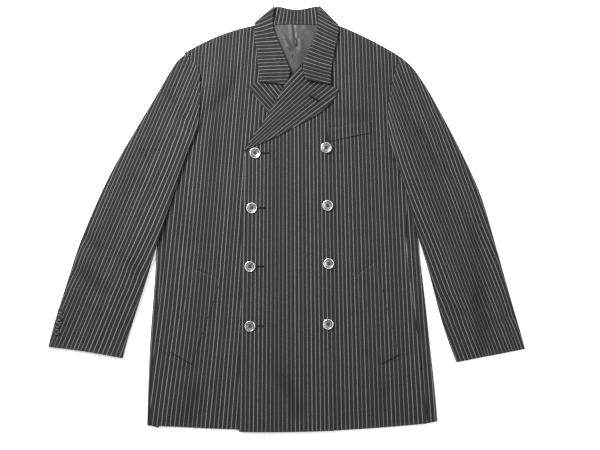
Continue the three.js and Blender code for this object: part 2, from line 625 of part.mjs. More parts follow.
function buttonGeometry({ diameter, height, rim, dish, shoulder, hole, spacing, sides }) {
  const r = diameter / 2;
  const foot = 0.7 * r;
  const crest = r - 0.45 * rim;
  const ledge = height - 0.35 * dish;
  const floor = height - dish;
  const profile = [
    [0, 0],
    [foot, 0],
    [r, height / 2],
    [crest, height],
    [r - rim, ledge],
    [r - rim - shoulder, floor],
    [0, floor],
  ].map(([x, y]) => new THREE.Vector2(x, y));
  const disc = new THREE.LatheGeometry(profile, sides).rotateX(Math.PI / 2);
  const drill = new THREE.CylinderGeometry(hole / 2, hole / 2, 2 * height, HOLE_SIDES).rotateX(Math.PI / 2);
  let button = manifoldOf(facingOut(disc));
  for (const x of [-1, 1]) {
    for (const y of [-1, 1]) {
      const placed = drill.clone().translate((x * spacing) / 2, (y * spacing) / 2, height / 2);
      button = button.subtract(manifoldOf(placed));
    }
  }
  return geometryOf(button);
}

const FRONT_BUTTONS = [
  { x: -61.7, y: 132.7, column: 'left' },
  { x: -68.5, y: 23, column: 'left' },
  { x: -72.1, y: -94, column: 'left' },
  { x: -72, y: -213, column: 'left' },
  { x: 80, y: 143, column: 'right' },
  { x: 83, y: 28, column: 'right' },
  { x: 85, y: -88, column: 'right' },
  { x: 84, y: -209, column: 'right' },
];
const CUFF_BUTTONS = [
  { x: -450, y: -182 },
  { x: -453, y: -196.3 },
  { x: -456, y: -210.7 },
  { x: -459, y: -225 },
];
const BUTTONS_IN_COLUMN = 4;
const frontButton = buttonGeometry(FRONT_BUTTON);
FRONT_BUTTONS.forEach(({ x, y, column }, i) => {
  const number = (i % BUTTONS_IN_COLUMN) + 1;
  const mesh = addMesh(`front_button_${column}_${number}`, frontButton.clone(), horn());
  mesh.position.set(x, y, pile.level(x, y, { flat: 8, ramp: 9 }) + GAP);
});
const cuffButton = buttonGeometry(CUFF_BUTTON);
CUFF_BUTTONS.forEach(({ x, y }, i) => {
  const mesh = addMesh(`cuff_button_${i + 1}`, cuffButton.clone(), cuffHorn());
  mesh.position.set(x, y, pile.level(x, y, { flat: 6, ramp: 7 }) + GAP);
});

// The origin is under the middle of the jacket's outline.
const box = new THREE.Box3().setFromObject(jacket);
jacket.position.set(-(box.min.x + box.max.x) / 2, -(box.min.y + box.max.y) / 2, -box.min.z);

export default jacket;
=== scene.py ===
import logging
import math
from collections.abc import Sequence
from dataclasses import dataclass
from enum import Enum
from typing import Protocol

import bmesh
import bpy
import numpy as np
from mathutils import Matrix, Vector
from mathutils.bvhtree import BVHTree
from mathutils.kdtree import KDTree


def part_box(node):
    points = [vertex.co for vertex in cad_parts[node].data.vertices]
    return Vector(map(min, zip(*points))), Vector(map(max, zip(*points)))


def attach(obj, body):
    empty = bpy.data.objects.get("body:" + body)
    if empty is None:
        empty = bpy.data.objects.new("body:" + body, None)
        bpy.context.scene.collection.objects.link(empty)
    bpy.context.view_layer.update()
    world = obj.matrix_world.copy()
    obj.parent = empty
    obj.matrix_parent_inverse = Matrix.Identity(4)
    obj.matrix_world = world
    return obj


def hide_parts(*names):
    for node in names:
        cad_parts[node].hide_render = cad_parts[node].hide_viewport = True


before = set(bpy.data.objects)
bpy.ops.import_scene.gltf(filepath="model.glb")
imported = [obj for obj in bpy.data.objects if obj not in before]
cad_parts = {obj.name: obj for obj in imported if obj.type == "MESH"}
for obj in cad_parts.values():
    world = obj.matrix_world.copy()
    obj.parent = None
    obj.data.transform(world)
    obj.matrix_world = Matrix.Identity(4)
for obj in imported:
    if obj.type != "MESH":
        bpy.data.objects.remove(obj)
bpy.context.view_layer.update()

# A double-breasted pinstripe jacket laid flat, front up. Left and right are the viewer's.
log = logging.getLogger("jacket")

MM = 0.001
FULL_TURN = 2 * math.pi
DRAWN_ORIGIN = Vector((-1.1, -1.0))  # where the drawing's origin lies in the frame, in millimetres
WELD = 1e-5
CLOTH_BODY = "root"
STRIPE_PITCH = 7.8  # millimetres from stripe to stripe
NOISE_SPAN = (0.3, 0.7)  # where nearly all of a noise's values lie

# Names under which the meshes hold what the finishes read
GRAIN_MAP = "grain"
WEAR = "edge_wear"
RADIUS = "radius_share"
# The folds' height, which the finishes also read to paint shade into the troughs
FOLD = "fold_height"
CUT = "cut_edge"

# Angles between faces that tell a cut edge from a bend, and those up to which two triangles are one face
FLAT_RIM = math.radians(32)
ROUND_RIM = math.radians(60)
BEVELLED = math.radians(50)
SAME_FACE = math.radians(35)
SAME_SHAPE = math.radians(100)

Place = tuple[float, float]
Span = tuple[float, float]
Colour = tuple[float, float, float]
Socket = bpy.types.NodeSocket


class Slot(Enum):
    """The record's material slots."""

    WOOL = "pinstripe_wool"
    LINING = "lining"
    FRONT_BUTTON = "front_button"
    CUFF_BUTTON = "cuff_button"


def smoothstep(t: np.ndarray) -> np.ndarray:
    """Eases from 0 to 1 and stays there."""
    t = np.clip(t, 0.0, 1.0)
    return t * t * (3.0 - 2.0 * t)


def frame_place(x: float, y: float) -> Vector:
    """Turns a place of the drawing, in millimetres, into the frame's metres.

    Args:
        x: Distance to the viewer's right of the drawing's origin.
        y: Distance towards the collar.

    Returns:
        The place on the floor.
    """
    return Vector(((x + DRAWN_ORIGIN.x) * MM, (y + DRAWN_ORIGIN.y) * MM, 0.0))


def drawn_places(points: np.ndarray) -> np.ndarray:
    """Turns points of the frame, in metres, into places of the drawing, in millimetres."""
    return points[:, :2] / MM - np.array(DRAWN_ORIGIN)


def linear(grey: float, tint: Colour = (1.0, 1.0, 1.0)) -> tuple[float, float, float, float]:
    """Makes a colour from a display grey of 0 to 255 and a tint.

    Args:
        grey: The grey as it would be read from a picture.
        tint: What each channel is multiplied by.

    Returns:
        A linear colour with full alpha.
    """
    share = grey / 255.0
    value = share / 12.92 if share <= 0.04045 else ((share + 0.055) / 1.055) ** 2.4
    return (value * tint[0], value * tint[1], value * tint[2], 1.0)


# Materials
class Recipe:
    """Adds and joins the nodes of one material."""

    def __init__(self, name: str) -> None:
        """Starts a material with a bare shader.

        Args:
            name: The material's name.
        """
        self.material = bpy.data.materials.new(name)
        self.material.use_nodes = True
        self.tree = self.material.node_tree
        self.tree.nodes.clear()
        self.shader = self.tree.nodes.new("ShaderNodeBsdfPrincipled")
        output = self.tree.nodes.new("ShaderNodeOutputMaterial")
        self.tree.links.new(self.shader.outputs["BSDF"], output.inputs["Surface"])

    def feed(self, socket: Socket, value: Socket | float | Sequence[float]) -> None:
        """Joins a socket to another, or sets its value.

        Args:
            socket: What is fed.
            value: Another node's result, or a plain value.
        """
        if isinstance(value, bpy.types.NodeSocket):
            self.tree.links.new(value, socket)
        else:
            socket.default_value = value

    def node(self, kind: str, **settings: object) -> bpy.types.Node:
        """Adds a node and sets its properties.

        Args:
            kind: The node's type.
            settings: Its properties, by name.

        Returns:
            The node.
        """
        made = self.tree.nodes.new(kind)
        for name, value in settings.items():
            setattr(made, name, value)
        return made

    def math(self, operation: str, *values: Socket | float) -> Socket:
        """Adds a Math node.

        Args:
            operation: The node's operation.
            values: What goes into its sockets, in order.

        Returns:
            Its result.
        """
        made = self.node("ShaderNodeMath", operation=operation)
        for socket, value in zip(made.inputs, values):
            self.feed(socket, value)
        return made.outputs[0]

    def band(self, value: Socket, start: float, end: float, low: float = 0.0, high: float = 1.0) -> Socket:
        """Eases from one number to another as a value grows or falls.

        Args:
            value: What is followed.
            start: The value where the result leaves low.
            end: The value where it comes to high.
            low: The result at the start.
            high: The result at the end.

        Returns:
            The eased number.
        """
        made = self.node("ShaderNodeMapRange", interpolation_type="SMOOTHSTEP")
        for name, number in (("From Min", start), ("From Max", end), ("To Min", low), ("To Max", high)):
            made.inputs[name].default_value = number
        self.feed(made.inputs["Value"], value)
        return made.outputs["Result"]

    def mix(self, share: Socket | float, a: Socket | Sequence[float], b: Socket | Sequence[float]) -> Socket:
        """Mixes two colours.

        Args:
            share: How much of the second colour there is, from 0 to 1.
            a: The first colour.
            b: The second colour.

        Returns:
            The mixed colour.
        """
        made = self.node("ShaderNodeMix", data_type="RGBA")
        self.feed(made.inputs["Factor"], share)
        first, second = (socket for socket in made.inputs if socket.type == "RGBA")
        self.feed(first, a)
        self.feed(second, b)
        return next(socket for socket in made.outputs if socket.type == "RGBA")

    def ramp(self, value: Socket, steps: Sequence[tuple[float, float]]) -> Socket:
        """Turns a value into greys.

        Args:
            value: A number from 0 to 1.
            steps: Values in rising order, each with its grey.

        Returns:
            The grey as a colour.
        """
        made = self.node("ShaderNodeValToRGB")
        elements = made.color_ramp.elements
        for element, (place, grey) in zip((elements[0], elements[-1]), (steps[0], steps[-1])):
            element.position, element.color = place, linear(grey)
        for place, grey in steps[1:-1]:
            elements.new(place).color = linear(grey)
        self.feed(made.inputs["Fac"], value)
        return made.outputs["Color"]

    def chance(self, number: Socket) -> Socket:
        """Gives each whole number a chance value of its own.

        Args:
            number: The whole number.

        Returns:
            Its value, from 0 to 1.
        """
        made = self.node("ShaderNodeTexWhiteNoise", noise_dimensions="1D")
        self.feed(made.inputs["W"], number)
        return made.outputs["Value"]

    def noise(self, vector: Socket, scale: float, detail: float = 2.0) -> Socket:
        """Adds a noise texture.

        Args:
            vector: The coordinates that it follows.
            scale: Its swells in a metre.
            detail: How many finer layers it has.

        Returns:
            Its value, about 0.5 on average.
        """
        made = self.node("ShaderNodeTexNoise")
        made.inputs["Scale"].default_value = scale
        made.inputs["Detail"].default_value = detail
        self.feed(made.inputs["Vector"], vector)
        return made.outputs["Fac"]

    def place(self) -> Socket:
        """Returns the Object coordinates, which are the frame's metres."""
        return self.node("ShaderNodeTexCoord").outputs["Object"]

    def attribute(self, name: str) -> Socket:
        """Returns a number that the mesh holds at each point."""
        return self.node("ShaderNodeAttribute", attribute_name=name).outputs["Fac"]

    def grain(self) -> tuple[Socket, Socket, Socket]:
        """Reads the cloth's own coordinates.

        Returns:
            Both together, then those across and along the stripes.
        """
        both = self.node("ShaderNodeUVMap", uv_map=GRAIN_MAP).outputs["UV"]
        parts = self.node("ShaderNodeSeparateXYZ")
        self.feed(parts.inputs[0], both)
        return both, parts.outputs[0], parts.outputs[1]

    def paint(self, colour: Socket, roughness: Socket) -> None:
        """Feeds the shader's colour and roughness."""
        self.feed(self.shader.inputs["Base Color"], colour)
        self.feed(self.shader.inputs["Roughness"], roughness)

    def bump(self, height: Socket, strength: float, distance: float) -> None:
        """Raises the surface in its shading.

        Args:
            height: The height, in steps of the distance.
            strength: How much of it shows, from 0 to 1.
            distance: What a height of 1 stands for, in metres.
        """
        made = self.node("ShaderNodeBump")
        made.inputs["Strength"].default_value = strength
        made.inputs["Distance"].default_value = distance
        self.feed(made.inputs["Height"], height)
        self.feed(self.shader.inputs["Normal"], made.outputs["Normal"])

    def settings(self, **values: float | Sequence[float]) -> None:
        """Sets the shader's own sockets, named with underscores for spaces."""
        for name, value in values.items():
            self.shader.inputs[name.replace("_", " ")].default_value = value


@dataclass(frozen=True)
class PinstripeWool:
    """Charcoal twill with a pale dotted stripe along its grain, darkened with painted shade in the troughs of
    its folds.
    """

    pitch: float = STRIPE_PITCH * MM
    stripe: float = 1.05 * MM
    softness: float = 0.5 * MM
    dot: float = 1.7 * MM
    dot_depth: float = 0.42
    dot_span: Span = (-0.9, 0.4)
    wander: float = 0.5 * MM
    wander_scale: float = 16.0
    faintest: float = 0.58  # the faintest stripe's strength beside the strongest
    slub_scale: float = 340.0
    slub_span: Span = (0.25, 0.6)
    slub_faintest: float = 0.6
    rib: float = 0.95 * MM
    rib_lean: float = 0.6  # the ribs' spacing along the stripes beside that across them
    rib_shade: float = 0.3
    fibre_scale: float = 2600.0
    fibre_span: Span = (0.2, 0.8)
    cloud_scale: float = 9.0
    cloud_span: Span = (0.35, 0.75)
    cloud_shade: float = 0.35
    ground: float = 33.0
    ground_spread: float = 7.0
    pale: float = 142.0
    pale_tint: Colour = (1.0, 1.0, 0.99)
    worn_gain: float = 18.0
    worn_shade: float = 0.3
    # Painted shade: the grey that the cloth is darkened towards in its troughs, the depths of the folds over
    # which it eases in, and how much of it there is
    trough: float = 14.0
    trough_depths: Span = (-0.4, -3.0)
    trough_shade: float = 0.34
    roughness: Span = (0.78, 0.95)
    heights: tuple[float, float, float] = (0.35, 0.6, 0.9)  # of a rib, a stripe and a fibre, in bump depths
    bump_strength: float = 0.35
    bump_depth: float = 0.12 * MM
    tint: Colour = (0.985, 0.985, 1.03)

    def dress(self) -> bpy.types.Material:
        """Builds the material.

        Returns:
            The cloth's material.
        """
        mat = Recipe("pinstripe_wool")
        both, across, along = mat.grain()
        fibre = mat.noise(both, self.fibre_scale, 3.0)
        slub = mat.noise(both, self.slub_scale)
        stripe = self._stripe(mat, across, along, slub)
        slant = mat.math("ADD", mat.math("MULTIPLY", across, FULL_TURN / self.rib),
                         mat.math("MULTIPLY", along, FULL_TURN / (self.rib * self.rib_lean)))
        rib = mat.math("SINE", slant)
        colour = mat.mix(stripe, self._ground(mat, fibre, rib), linear(self.pale, self.pale_tint))
        # Painted shade: the cloth darkens towards the trough grey where its folds sink
        painted_fold_shade = mat.band(mat.attribute(FOLD), *self.trough_depths, 0.0, self.trough_shade)
        colour = mat.mix(painted_fold_shade, colour, linear(self.trough, self.tint))
        mat.paint(colour, mat.band(fibre, *self.fibre_span, *self.roughness))
        rib_height, stripe_height, fibre_height = self.heights
        height = mat.math("ADD", mat.math("MULTIPLY", rib, rib_height),
                          mat.math("MULTIPLY", stripe, stripe_height))
        height = mat.math("ADD", height, mat.math("MULTIPLY", fibre, fibre_height))
        mat.bump(height, self.bump_strength, self.bump_depth)
        mat.settings(Sheen_Weight=0.12, Sheen_Roughness=0.45, Specular_IOR_Level=0.15)
        return mat.material

    def _stripe(self, mat: Recipe, across: Socket, along: Socket, slub: Socket) -> Socket:
        """Draws the stripes as soft dotted lines, each of its own strength.

        Args:
            mat: The cloth's recipe.
            across: The coordinate across the stripes.
            along: The coordinate along them.
            slub: The yarn's unevenness.

        Returns:
            How much of the pale yarn shows, from 0 to 1.
        """
        sideways = mat.math("SUBTRACT", mat.noise(mat.place(), self.wander_scale), 0.5)
        drift = mat.math("MULTIPLY", sideways, self.wander)
        turns = mat.math("DIVIDE", mat.math("ADD", across, drift), self.pitch)
        beside = mat.math("ABSOLUTE", mat.math("SUBTRACT", mat.math("FRACT", turns), 0.5))
        away = mat.math("MULTIPLY", beside, self.pitch)
        edge = self.stripe / 2
        line = mat.band(away, edge - self.softness / 2, edge + self.softness / 2, 1.0, 0.0)
        beat = mat.math("SINE", mat.math("MULTIPLY", along, FULL_TURN / self.dot))
        dots = mat.band(beat, *self.dot_span, 1.0 - self.dot_depth, 1.0)
        strength = mat.band(mat.chance(mat.math("FLOOR", turns)), 0.0, 1.0, self.faintest, 1.0)
        worn = mat.math("MULTIPLY", mat.band(slub, *self.slub_span, self.slub_faintest, 1.0), strength)
        stripe = mat.math("MULTIPLY", mat.math("MULTIPLY", line, dots), worn)
        return mat.math("MULTIPLY", stripe, mat.math("SUBTRACT", 1.0, mat.attribute(CUT)))

    def _ground(self, mat: Recipe, fibre: Socket, rib: Socket) -> Socket:
        """Mixes the charcoal ground from its fibres, clouds, ribs and worn edges.

        Args:
            mat: The cloth's recipe.
            fibre: The fibres' noise.
            rib: The ribs' wave, from -1 to 1.

        Returns:
            The ground's colour.
        """
        dark = linear(self.ground - self.ground_spread, self.tint)
        light = linear(self.ground + self.ground_spread, self.tint)
        worn = linear(self.ground + self.worn_gain, self.tint)
        cloud = mat.noise(mat.place(), self.cloud_scale, 3.0)
        ground = mat.mix(mat.band(fibre, *NOISE_SPAN), dark, light)
        ground = mat.mix(mat.band(cloud, *self.cloud_span, 0.0, self.cloud_shade), ground, light)
        ground = mat.mix(mat.band(rib, -1.0, 1.0, 0.0, self.rib_shade), ground, dark)
        return mat.mix(mat.math("MULTIPLY", mat.attribute(WEAR), self.worn_shade), ground, worn)


@dataclass(frozen=True)
class SatinLining:
    """Mid grey lining with a soft shine and faint pressed wrinkles, darkened with painted shade in the
    troughs of its folds, nearly black in the pleat.
    """

    grey: float = 44.0
    grey_spread: float = 7.0
    weft: float = 0.5 * MM
    cloud_scale: float = 55.0
    crush_scale: float = 120.0
    # Painted shade: the grey that the lining is darkened towards in its troughs, nearly black in the pleat,
    # and the depths of the folds over which it eases in
    trough: float = 14.0
    trough_depths: Span = (-0.4, -1.8)
    trough_shade: float = 0.92
    roughness: Span = (0.42, 0.6)
    heights: Span = (0.08, 3.0)  # of a weft thread and a wrinkle, in bump depths
    bump_strength: float = 0.5
    bump_depth: float = 0.25 * MM
    tint: Colour = (0.93, 1.0, 1.0)

    def dress(self) -> bpy.types.Material:
        """Builds the material.

        Returns:
            The lining's material.
        """
        mat = Recipe("satin_lining")
        _, _, along = mat.grain()
        place = mat.place()
        weft = mat.math("SINE", mat.math("MULTIPLY", along, FULL_TURN / self.weft))
        cloud = mat.noise(place, self.cloud_scale, 4.0)
        crush = mat.noise(place, self.crush_scale, 3.0)
        base = mat.mix(mat.band(cloud, *NOISE_SPAN), linear(self.grey - self.grey_spread, self.tint),
                       linear(self.grey + self.grey_spread, self.tint))
        # Painted shade: the lining darkens towards the trough grey where its folds sink
        painted_fold_shade = mat.band(mat.attribute(FOLD), *self.trough_depths, 0.0, self.trough_shade)
        base = mat.mix(painted_fold_shade, base, linear(self.trough, self.tint))
        mat.paint(base, mat.band(crush, *NOISE_SPAN, *self.roughness))
        weft_height, crush_height = self.heights
        height = mat.math("ADD", mat.math("MULTIPLY", weft, weft_height),
                          mat.math("MULTIPLY", crush, crush_height))
        mat.bump(height, self.bump_strength, self.bump_depth)
        mat.settings(Sheen_Weight=0.15, Specular_IOR_Level=0.5)
        return mat.material


# The horns' rings: shares of the radius, each with its grey
FRONT_RINGS = ((0.0, 90.0), (0.2, 100.0), (0.34, 150.0), (0.68, 165.0), (0.75, 80.0), (0.8, 84.0),
               (0.87, 245.0), (1.0, 235.0))
CUFF_RINGS = ((0.0, 34.0), (0.3, 56.0), (0.7, 52.0), (0.84, 72.0), (1.0, 60.0))


@dataclass(frozen=True)
class Horn:
    """Button horn, shaded in rings from its middle to its rim, with a cloudy grain."""

    name: str
    rings: tuple[tuple[float, float], ...]
    roughness: float
    metallic: float
    coat: float
    cloud_scale: float = 150.0
    cloud_span: Span = (0.35, 0.65)
    cloud_grey: float = 30.0
    cloud_shade: float = 0.3
    streak_scale: float = 700.0
    streak_gloss: Span = (0.8, 1.3)  # the roughness in the streaks beside the plain one
    bump_strength: float = 0.12
    bump_depth: float = 0.05 * MM

    def dress(self) -> bpy.types.Material:
        """Builds the material.

        Returns:
            The button's material.
        """
        mat = Recipe(self.name)
        place = mat.place()
        cloud = mat.noise(place, self.cloud_scale, 4.0)
        streak = mat.noise(place, self.streak_scale)
        rings = mat.ramp(mat.attribute(RADIUS), self.rings)
        cloudy = mat.band(cloud, *self.cloud_span, 0.0, self.cloud_shade)
        base = mat.mix(cloudy, rings, linear(self.cloud_grey))
        gloss = (self.roughness * share for share in self.streak_gloss)
        mat.paint(base, mat.band(streak, *NOISE_SPAN, *gloss))
        mat.bump(streak, self.bump_strength, self.bump_depth)
        mat.settings(Metallic=self.metallic, Coat_Weight=self.coat, Coat_Roughness=0.08)
        return mat.material


@dataclass(frozen=True)
class Thread:
    """Twisted sewing thread."""

    name: str
    grey: float
    darker: float = 8.0
    lighter: float = 10.0
    twist_scale: float = 2400.0
    roughness: Span = (0.6, 0.8)
    bump_strength: float = 0.4
    bump_depth: float = 0.08 * MM

    def dress(self) -> bpy.types.Material:
        """Builds the material.

        Returns:
            The thread's material.
        """
        mat = Recipe(self.name)
        twist = mat.noise(mat.place(), self.twist_scale)
        base = mat.mix(mat.band(twist, *NOISE_SPAN), linear(self.grey - self.darker),
                       linear(self.grey + self.lighter))
        mat.paint(base, mat.band(twist, *NOISE_SPAN, *self.roughness))
        mat.bump(twist, self.bump_strength, self.bump_depth)
        mat.settings(Sheen_Weight=0.04, Specular_IOR_Level=0.1)
        return mat.material


@dataclass(frozen=True)
class PaleFloor:
    """A plain pale floor, a little brighter than its light makes it."""

    greys: Span = (243.0, 247.0)
    cloud_scale: float = 3.0
    glow: float = 0.35

    def dress(self) -> bpy.types.Material:
        """Builds the material.

        Returns:
            The floor's material.
        """
        mat = Recipe("pale_floor")
        cloud = mat.noise(mat.place(), self.cloud_scale)
        mat.feed(mat.shader.inputs["Base Color"], mat.mix(cloud, *(linear(grey) for grey in self.greys)))
        mat.settings(Roughness=0.9, Specular_IOR_Level=0.1, Emission_Color=(1.0, 1.0, 1.0, 1.0),
                     Emission_Strength=self.glow)
        return mat.material


# How the stripes run over each piece of cloth
class Grain(Protocol):
    """Gives the cloth's own coordinates at places of the drawing."""

    def across_along(self, places: np.ndarray) -> np.ndarray:
        """Returns how far across and along the stripes each place lies, in millimetres."""


@dataclass(frozen=True)
class Sway:
    """A stretch of cloth pulled sideways, so that its stripes lean there."""

    full_x: float
    none_x: float
    from_y: float
    to_y: float
    shift: float

    def offset(self, places: np.ndarray) -> np.ndarray:
        """Returns how far the stripes are pulled to the right at each place."""
        share = smoothstep((places[:, 0] - self.none_x) / (self.full_x - self.none_x))
        return self.shift * share * smoothstep((places[:, 1] - self.from_y) / (self.to_y - self.from_y))


@dataclass(frozen=True)
class FanGrain:
    """Stripes that spread slightly from a far point, as on a shaped panel."""

    centre: Place
    lean: float  # degrees from the Y axis, to the right at the top
    reach: float  # from the centre up to the point where the stripes would meet
    start: float = 0.0
    sways: tuple[Sway, ...] = ()

    def across_along(self, places: np.ndarray) -> np.ndarray:
        """Measures places across and along the stripes.

        Args:
            places: Places of the drawing.

        Returns:
            Two distances in millimetres for each place.
        """
        angle = math.radians(self.lean)
        up = np.array((math.sin(angle), math.cos(angle)))
        side = np.array((up[1], -up[0]))
        away = places - (np.array(self.centre) + self.reach * up)
        below, beside = -(away @ up), away @ side
        across = self.reach * np.arctan(beside / below) + self.start
        for sway in self.sways:
            across = across - sway.offset(places)
        along = self.reach - math.copysign(1.0, self.reach) * np.hypot(below, beside)
        return np.stack((across, along), axis=1)


@dataclass(frozen=True)
class CollarGrain:
    """Stripes that run across a collar's width and tilt more towards the neck."""

    edge_x: float
    low_slope: float
    high_slope: float
    from_y: float
    to_y: float
    start: float = 0.0

    def across_along(self, places: np.ndarray) -> np.ndarray:
        """Measures places across and along the stripes.

        Args:
            places: Places of the drawing.

        Returns:
            Two distances in millimetres for each place.
        """
        x, y = places[:, 0], places[:, 1]
        share = smoothstep((y - self.from_y) / (self.to_y - self.from_y))
        slope = self.low_slope + (self.high_slope - self.low_slope) * share
        return np.stack((y - slope * (x - self.edge_x) + self.start, x), axis=1)


# Folds laid into the cloth, whose troughs the finishes darken with painted shade
@dataclass(frozen=True)
class Crease:
    """One soft trough or ridge, along a bent line between two places of the drawing."""

    start: Place
    end: Place
    width: float
    height: float
    bend: float = 0.0
    overrun: float = 0.15  # share of the line by which each end runs on
    fade: float = 0.4  # share of the line in which each end dies out

    def lift(self, places: np.ndarray) -> np.ndarray:
        """Measures the crease at places of the drawing.

        Args:
            places: Places of the drawing.

        Returns:
            Its height at each place, in millimetres.
        """
        start, end = np.array(self.start), np.array(self.end)
        run = end - start
        length = float(np.hypot(*run))
        t = (places - start) @ run / length**2
        beside = (places - start) @ np.array((-run[1], run[0])) / length - self.bend * 4 * t * (1 - t)
        ends = smoothstep((t + self.overrun) / self.fade) * smoothstep((1 + self.overrun - t) / self.fade)
        return self.height * np.exp(-((beside / self.width) ** 2)) * ends


# Lengths of the slow ripple's waves in X and Y, in millimetres
RIPPLE_WIDE = (23.0, 61.0)
RIPPLE_TALL = (71.0, 47.0)
RIPPLE_SLANT = (41.0, 29.0)
SLANT_SHARE = 0.6
SLANT_START = 1.3


@dataclass(frozen=True)
class Relief:
    """The folds of one layer, the slow ripple of the cloth and the places that stay down."""

    creases: tuple[Crease, ...]
    ripple: float = 0.5
    low: float = 2.5  # the height up to which the cloth lies still
    high: float = 6.0  # the height from which it moves freely
    held: tuple[Place, ...] = ()
    hold: float = 17.0
    held_share: float = 0.7

    def raised(self, points: np.ndarray) -> np.ndarray:
        """Lifts points of the frame by the folds.

        Args:
            points: Points in metres.

        Returns:
            The lifted points.
        """
        places = drawn_places(points)
        x, y = places[:, 0], places[:, 1]
        swell = (np.sin(x / RIPPLE_WIDE[0] + y / RIPPLE_WIDE[1])
                 * np.sin(y / RIPPLE_TALL[1] - x / RIPPLE_TALL[0]))
        slant = np.sin(x / RIPPLE_SLANT[0] - y / RIPPLE_SLANT[1] + SLANT_START)
        lift = self.ripple * (swell + SLANT_SHARE * slant)
        for crease in self.creases:
            lift = lift + crease.lift(places)
        for hx, hy in self.held:
            lift = lift * smoothstep(np.hypot(x - hx, y - hy) / self.hold - self.held_share)
        share = smoothstep((points[:, 2] / MM - self.low) / (self.high - self.low))
        made = points.copy()
        made[:, 2] += lift * share * MM
        return made


COLUMN = range(1, 5)  # the numbers of the buttons in one column
FRONT_BUTTONS = tuple(f"front_button_{side}_{i}" for side in ("left", "right") for i in COLUMN)
CUFF_BUTTONS = tuple(f"cuff_button_{i}" for i in COLUMN)


def drawn_centre(node: str) -> Place:
    """Finds the middle of a node.

    Args:
        node: The node's name.

    Returns:
        Its place in the drawing.
    """
    low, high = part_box(node)
    middle = (low + high) / 2 / MM
    return (middle.x - DRAWN_ORIGIN.x, middle.y - DRAWN_ORIGIN.y)


FRONT_RELIEF = Relief(
    creases=(
        Crease((-86, 310), (-162, 212), 15, -2.4, bend=6),
        Crease((-126, 318), (-170, 236), 13, 1.8),
        Crease((-136, 214), (-134, 52), 12, -1.1, bend=-5),
        Crease((-170, 322), (-167, 188), 9, -1.8),
        Crease((66, 228), (176, 203), 15, -2.0, bend=-6),
        Crease((180, 318), (197, 246), 11, -1.5),
        Crease((196, 128), (222, 96), 9, -1.4),
        Crease((-215, 40), (-188, -60), 16, -1.3),
        Crease((150, -20), (212, -72), 14, -1.2),
        Crease((-18, -300), (24, -412), 20, -2.6, bend=8),
        Crease((-64, -318), (-42, -420), 18, 2.2),
        Crease((92, -330), (84, -424), 20, 2.0),
        Crease((198, -322), (192, -412), 16, -2.4),
        Crease((246, -330), (252, -410), 14, 1.8),
        Crease((-176, -330), (-190, -414), 16, -2.4),
        Crease((-232, -318), (-238, -414), 13, 1.6),
        Crease((-222, -303), (-168, -296), 7, -1.4),
        Crease((150, -262), (190, -298), 7, -1.3),
        Crease((186, -297), (258, -262), 7, -1.3),
        Crease((-186, -80), (-126, -112), 7, -1.0),
        Crease((130, -110), (196, -74), 7, -1.0),
        Crease((-120, -150), (-114, -252), 14, -1.0),
        Crease((10, 120), (24, -60), 26, 0.9),
    ),
    held=tuple(drawn_centre(node) for node in FRONT_BUTTONS),
)
NECK_RELIEF = Relief(
    creases=(
        # a narrow trough where the left collar leg meets the stand, darkened by the cloth's finish as painted
        # shadow
        Crease((-27, 424), (-17, 391), 4, -2.6),
        Crease((20, 398), (64, 402), 9, 0.8),
    ),
    ripple=0.3,
)
LINING_RELIEF = Relief(
    creases=(
        # the pleat, whose narrow troughs the lining's finish darkens nearly black as painted shadow
        Crease((14, 396), (19, 362), 1.8, -1.6),
        Crease((10, 396), (13, 358), 3.5, 1.2),
        Crease((20, 362), (22, 345), 3.0, -2.4),
        Crease((28, 362), (31, 334), 5, 1.5),
        Crease((-6, 372), (8, 340), 4, 0.9),
        Crease((34, 388), (58, 368), 5, 0.9),
        Crease((0, 352), (30, 320), 4, 0.8),
    ),
    ripple=0.25,
    low=0.5,
    high=1.5,
)
LEFT_SLEEVE_RELIEF = Relief(
    creases=(
        Crease((-244, 262), (-196, 186), 9, -2.2, bend=4),
        Crease((-262, 232), (-214, 156), 11, 1.4),
        Crease((-238, 168), (-292, 104), 13, -2.0),
        Crease((-300, 118), (-262, 40), 17, 1.3),
        Crease((-404, -28), (-362, -66), 14, -1.8),
        Crease((-438, -92), (-350, -154), 19, -2.8, bend=6),
        Crease((-424, -132), (-366, -186), 15, 1.4),
        Crease((-350, -56), (-288, -116), 16, -1.9),
        Crease((-320, -150), (-356, -232), 15, -1.2),
    ),
    low=1.0,
    high=7.0,
    held=tuple(drawn_centre(node) for node in CUFF_BUTTONS),
    hold=10.0,
)
RIGHT_SLEEVE_RELIEF = Relief(
    creases=(
        Crease((240, 208), (278, 162), 9, -2.2),
        Crease((232, 286), (250, 268), 7, -1.3),
        Crease((266, 186), (332, 74), 12, -2.0, bend=-5),
        Crease((292, 206), (352, 104), 15, 1.4),
        Crease((368, 6), (390, -176), 17, -2.6, bend=5),
        Crease((386, -150), (394, -284), 15, -3.2),
        Crease((312, -156), (362, -198), 11, -2.0),
        Crease((458, -190), (392, -214), 11, -1.8),
        Crease((424, -60), (438, -170), 14, 1.3),
        Crease((338, -60), (352, -150), 15, 1.0),
    ),
    low=1.0,
    high=7.0,
)


def points_of(mesh: bpy.types.Mesh) -> np.ndarray:
    """Reads a mesh's points.

    Args:
        mesh: The mesh.

    Returns:
        Rows of three numbers, in metres.
    """
    flat = np.zeros(len(mesh.vertices) * 3, np.float32)
    mesh.vertices.foreach_get("co", flat)
    return flat.reshape(-1, 3).astype(float)


def store(mesh: bpy.types.Mesh, name: str, values: np.ndarray) -> None:
    """Stores a number for each of a mesh's points, for its finish to read."""
    mesh.attributes.new(name, "FLOAT", "POINT").data.foreach_set("value", values.astype(np.float32))


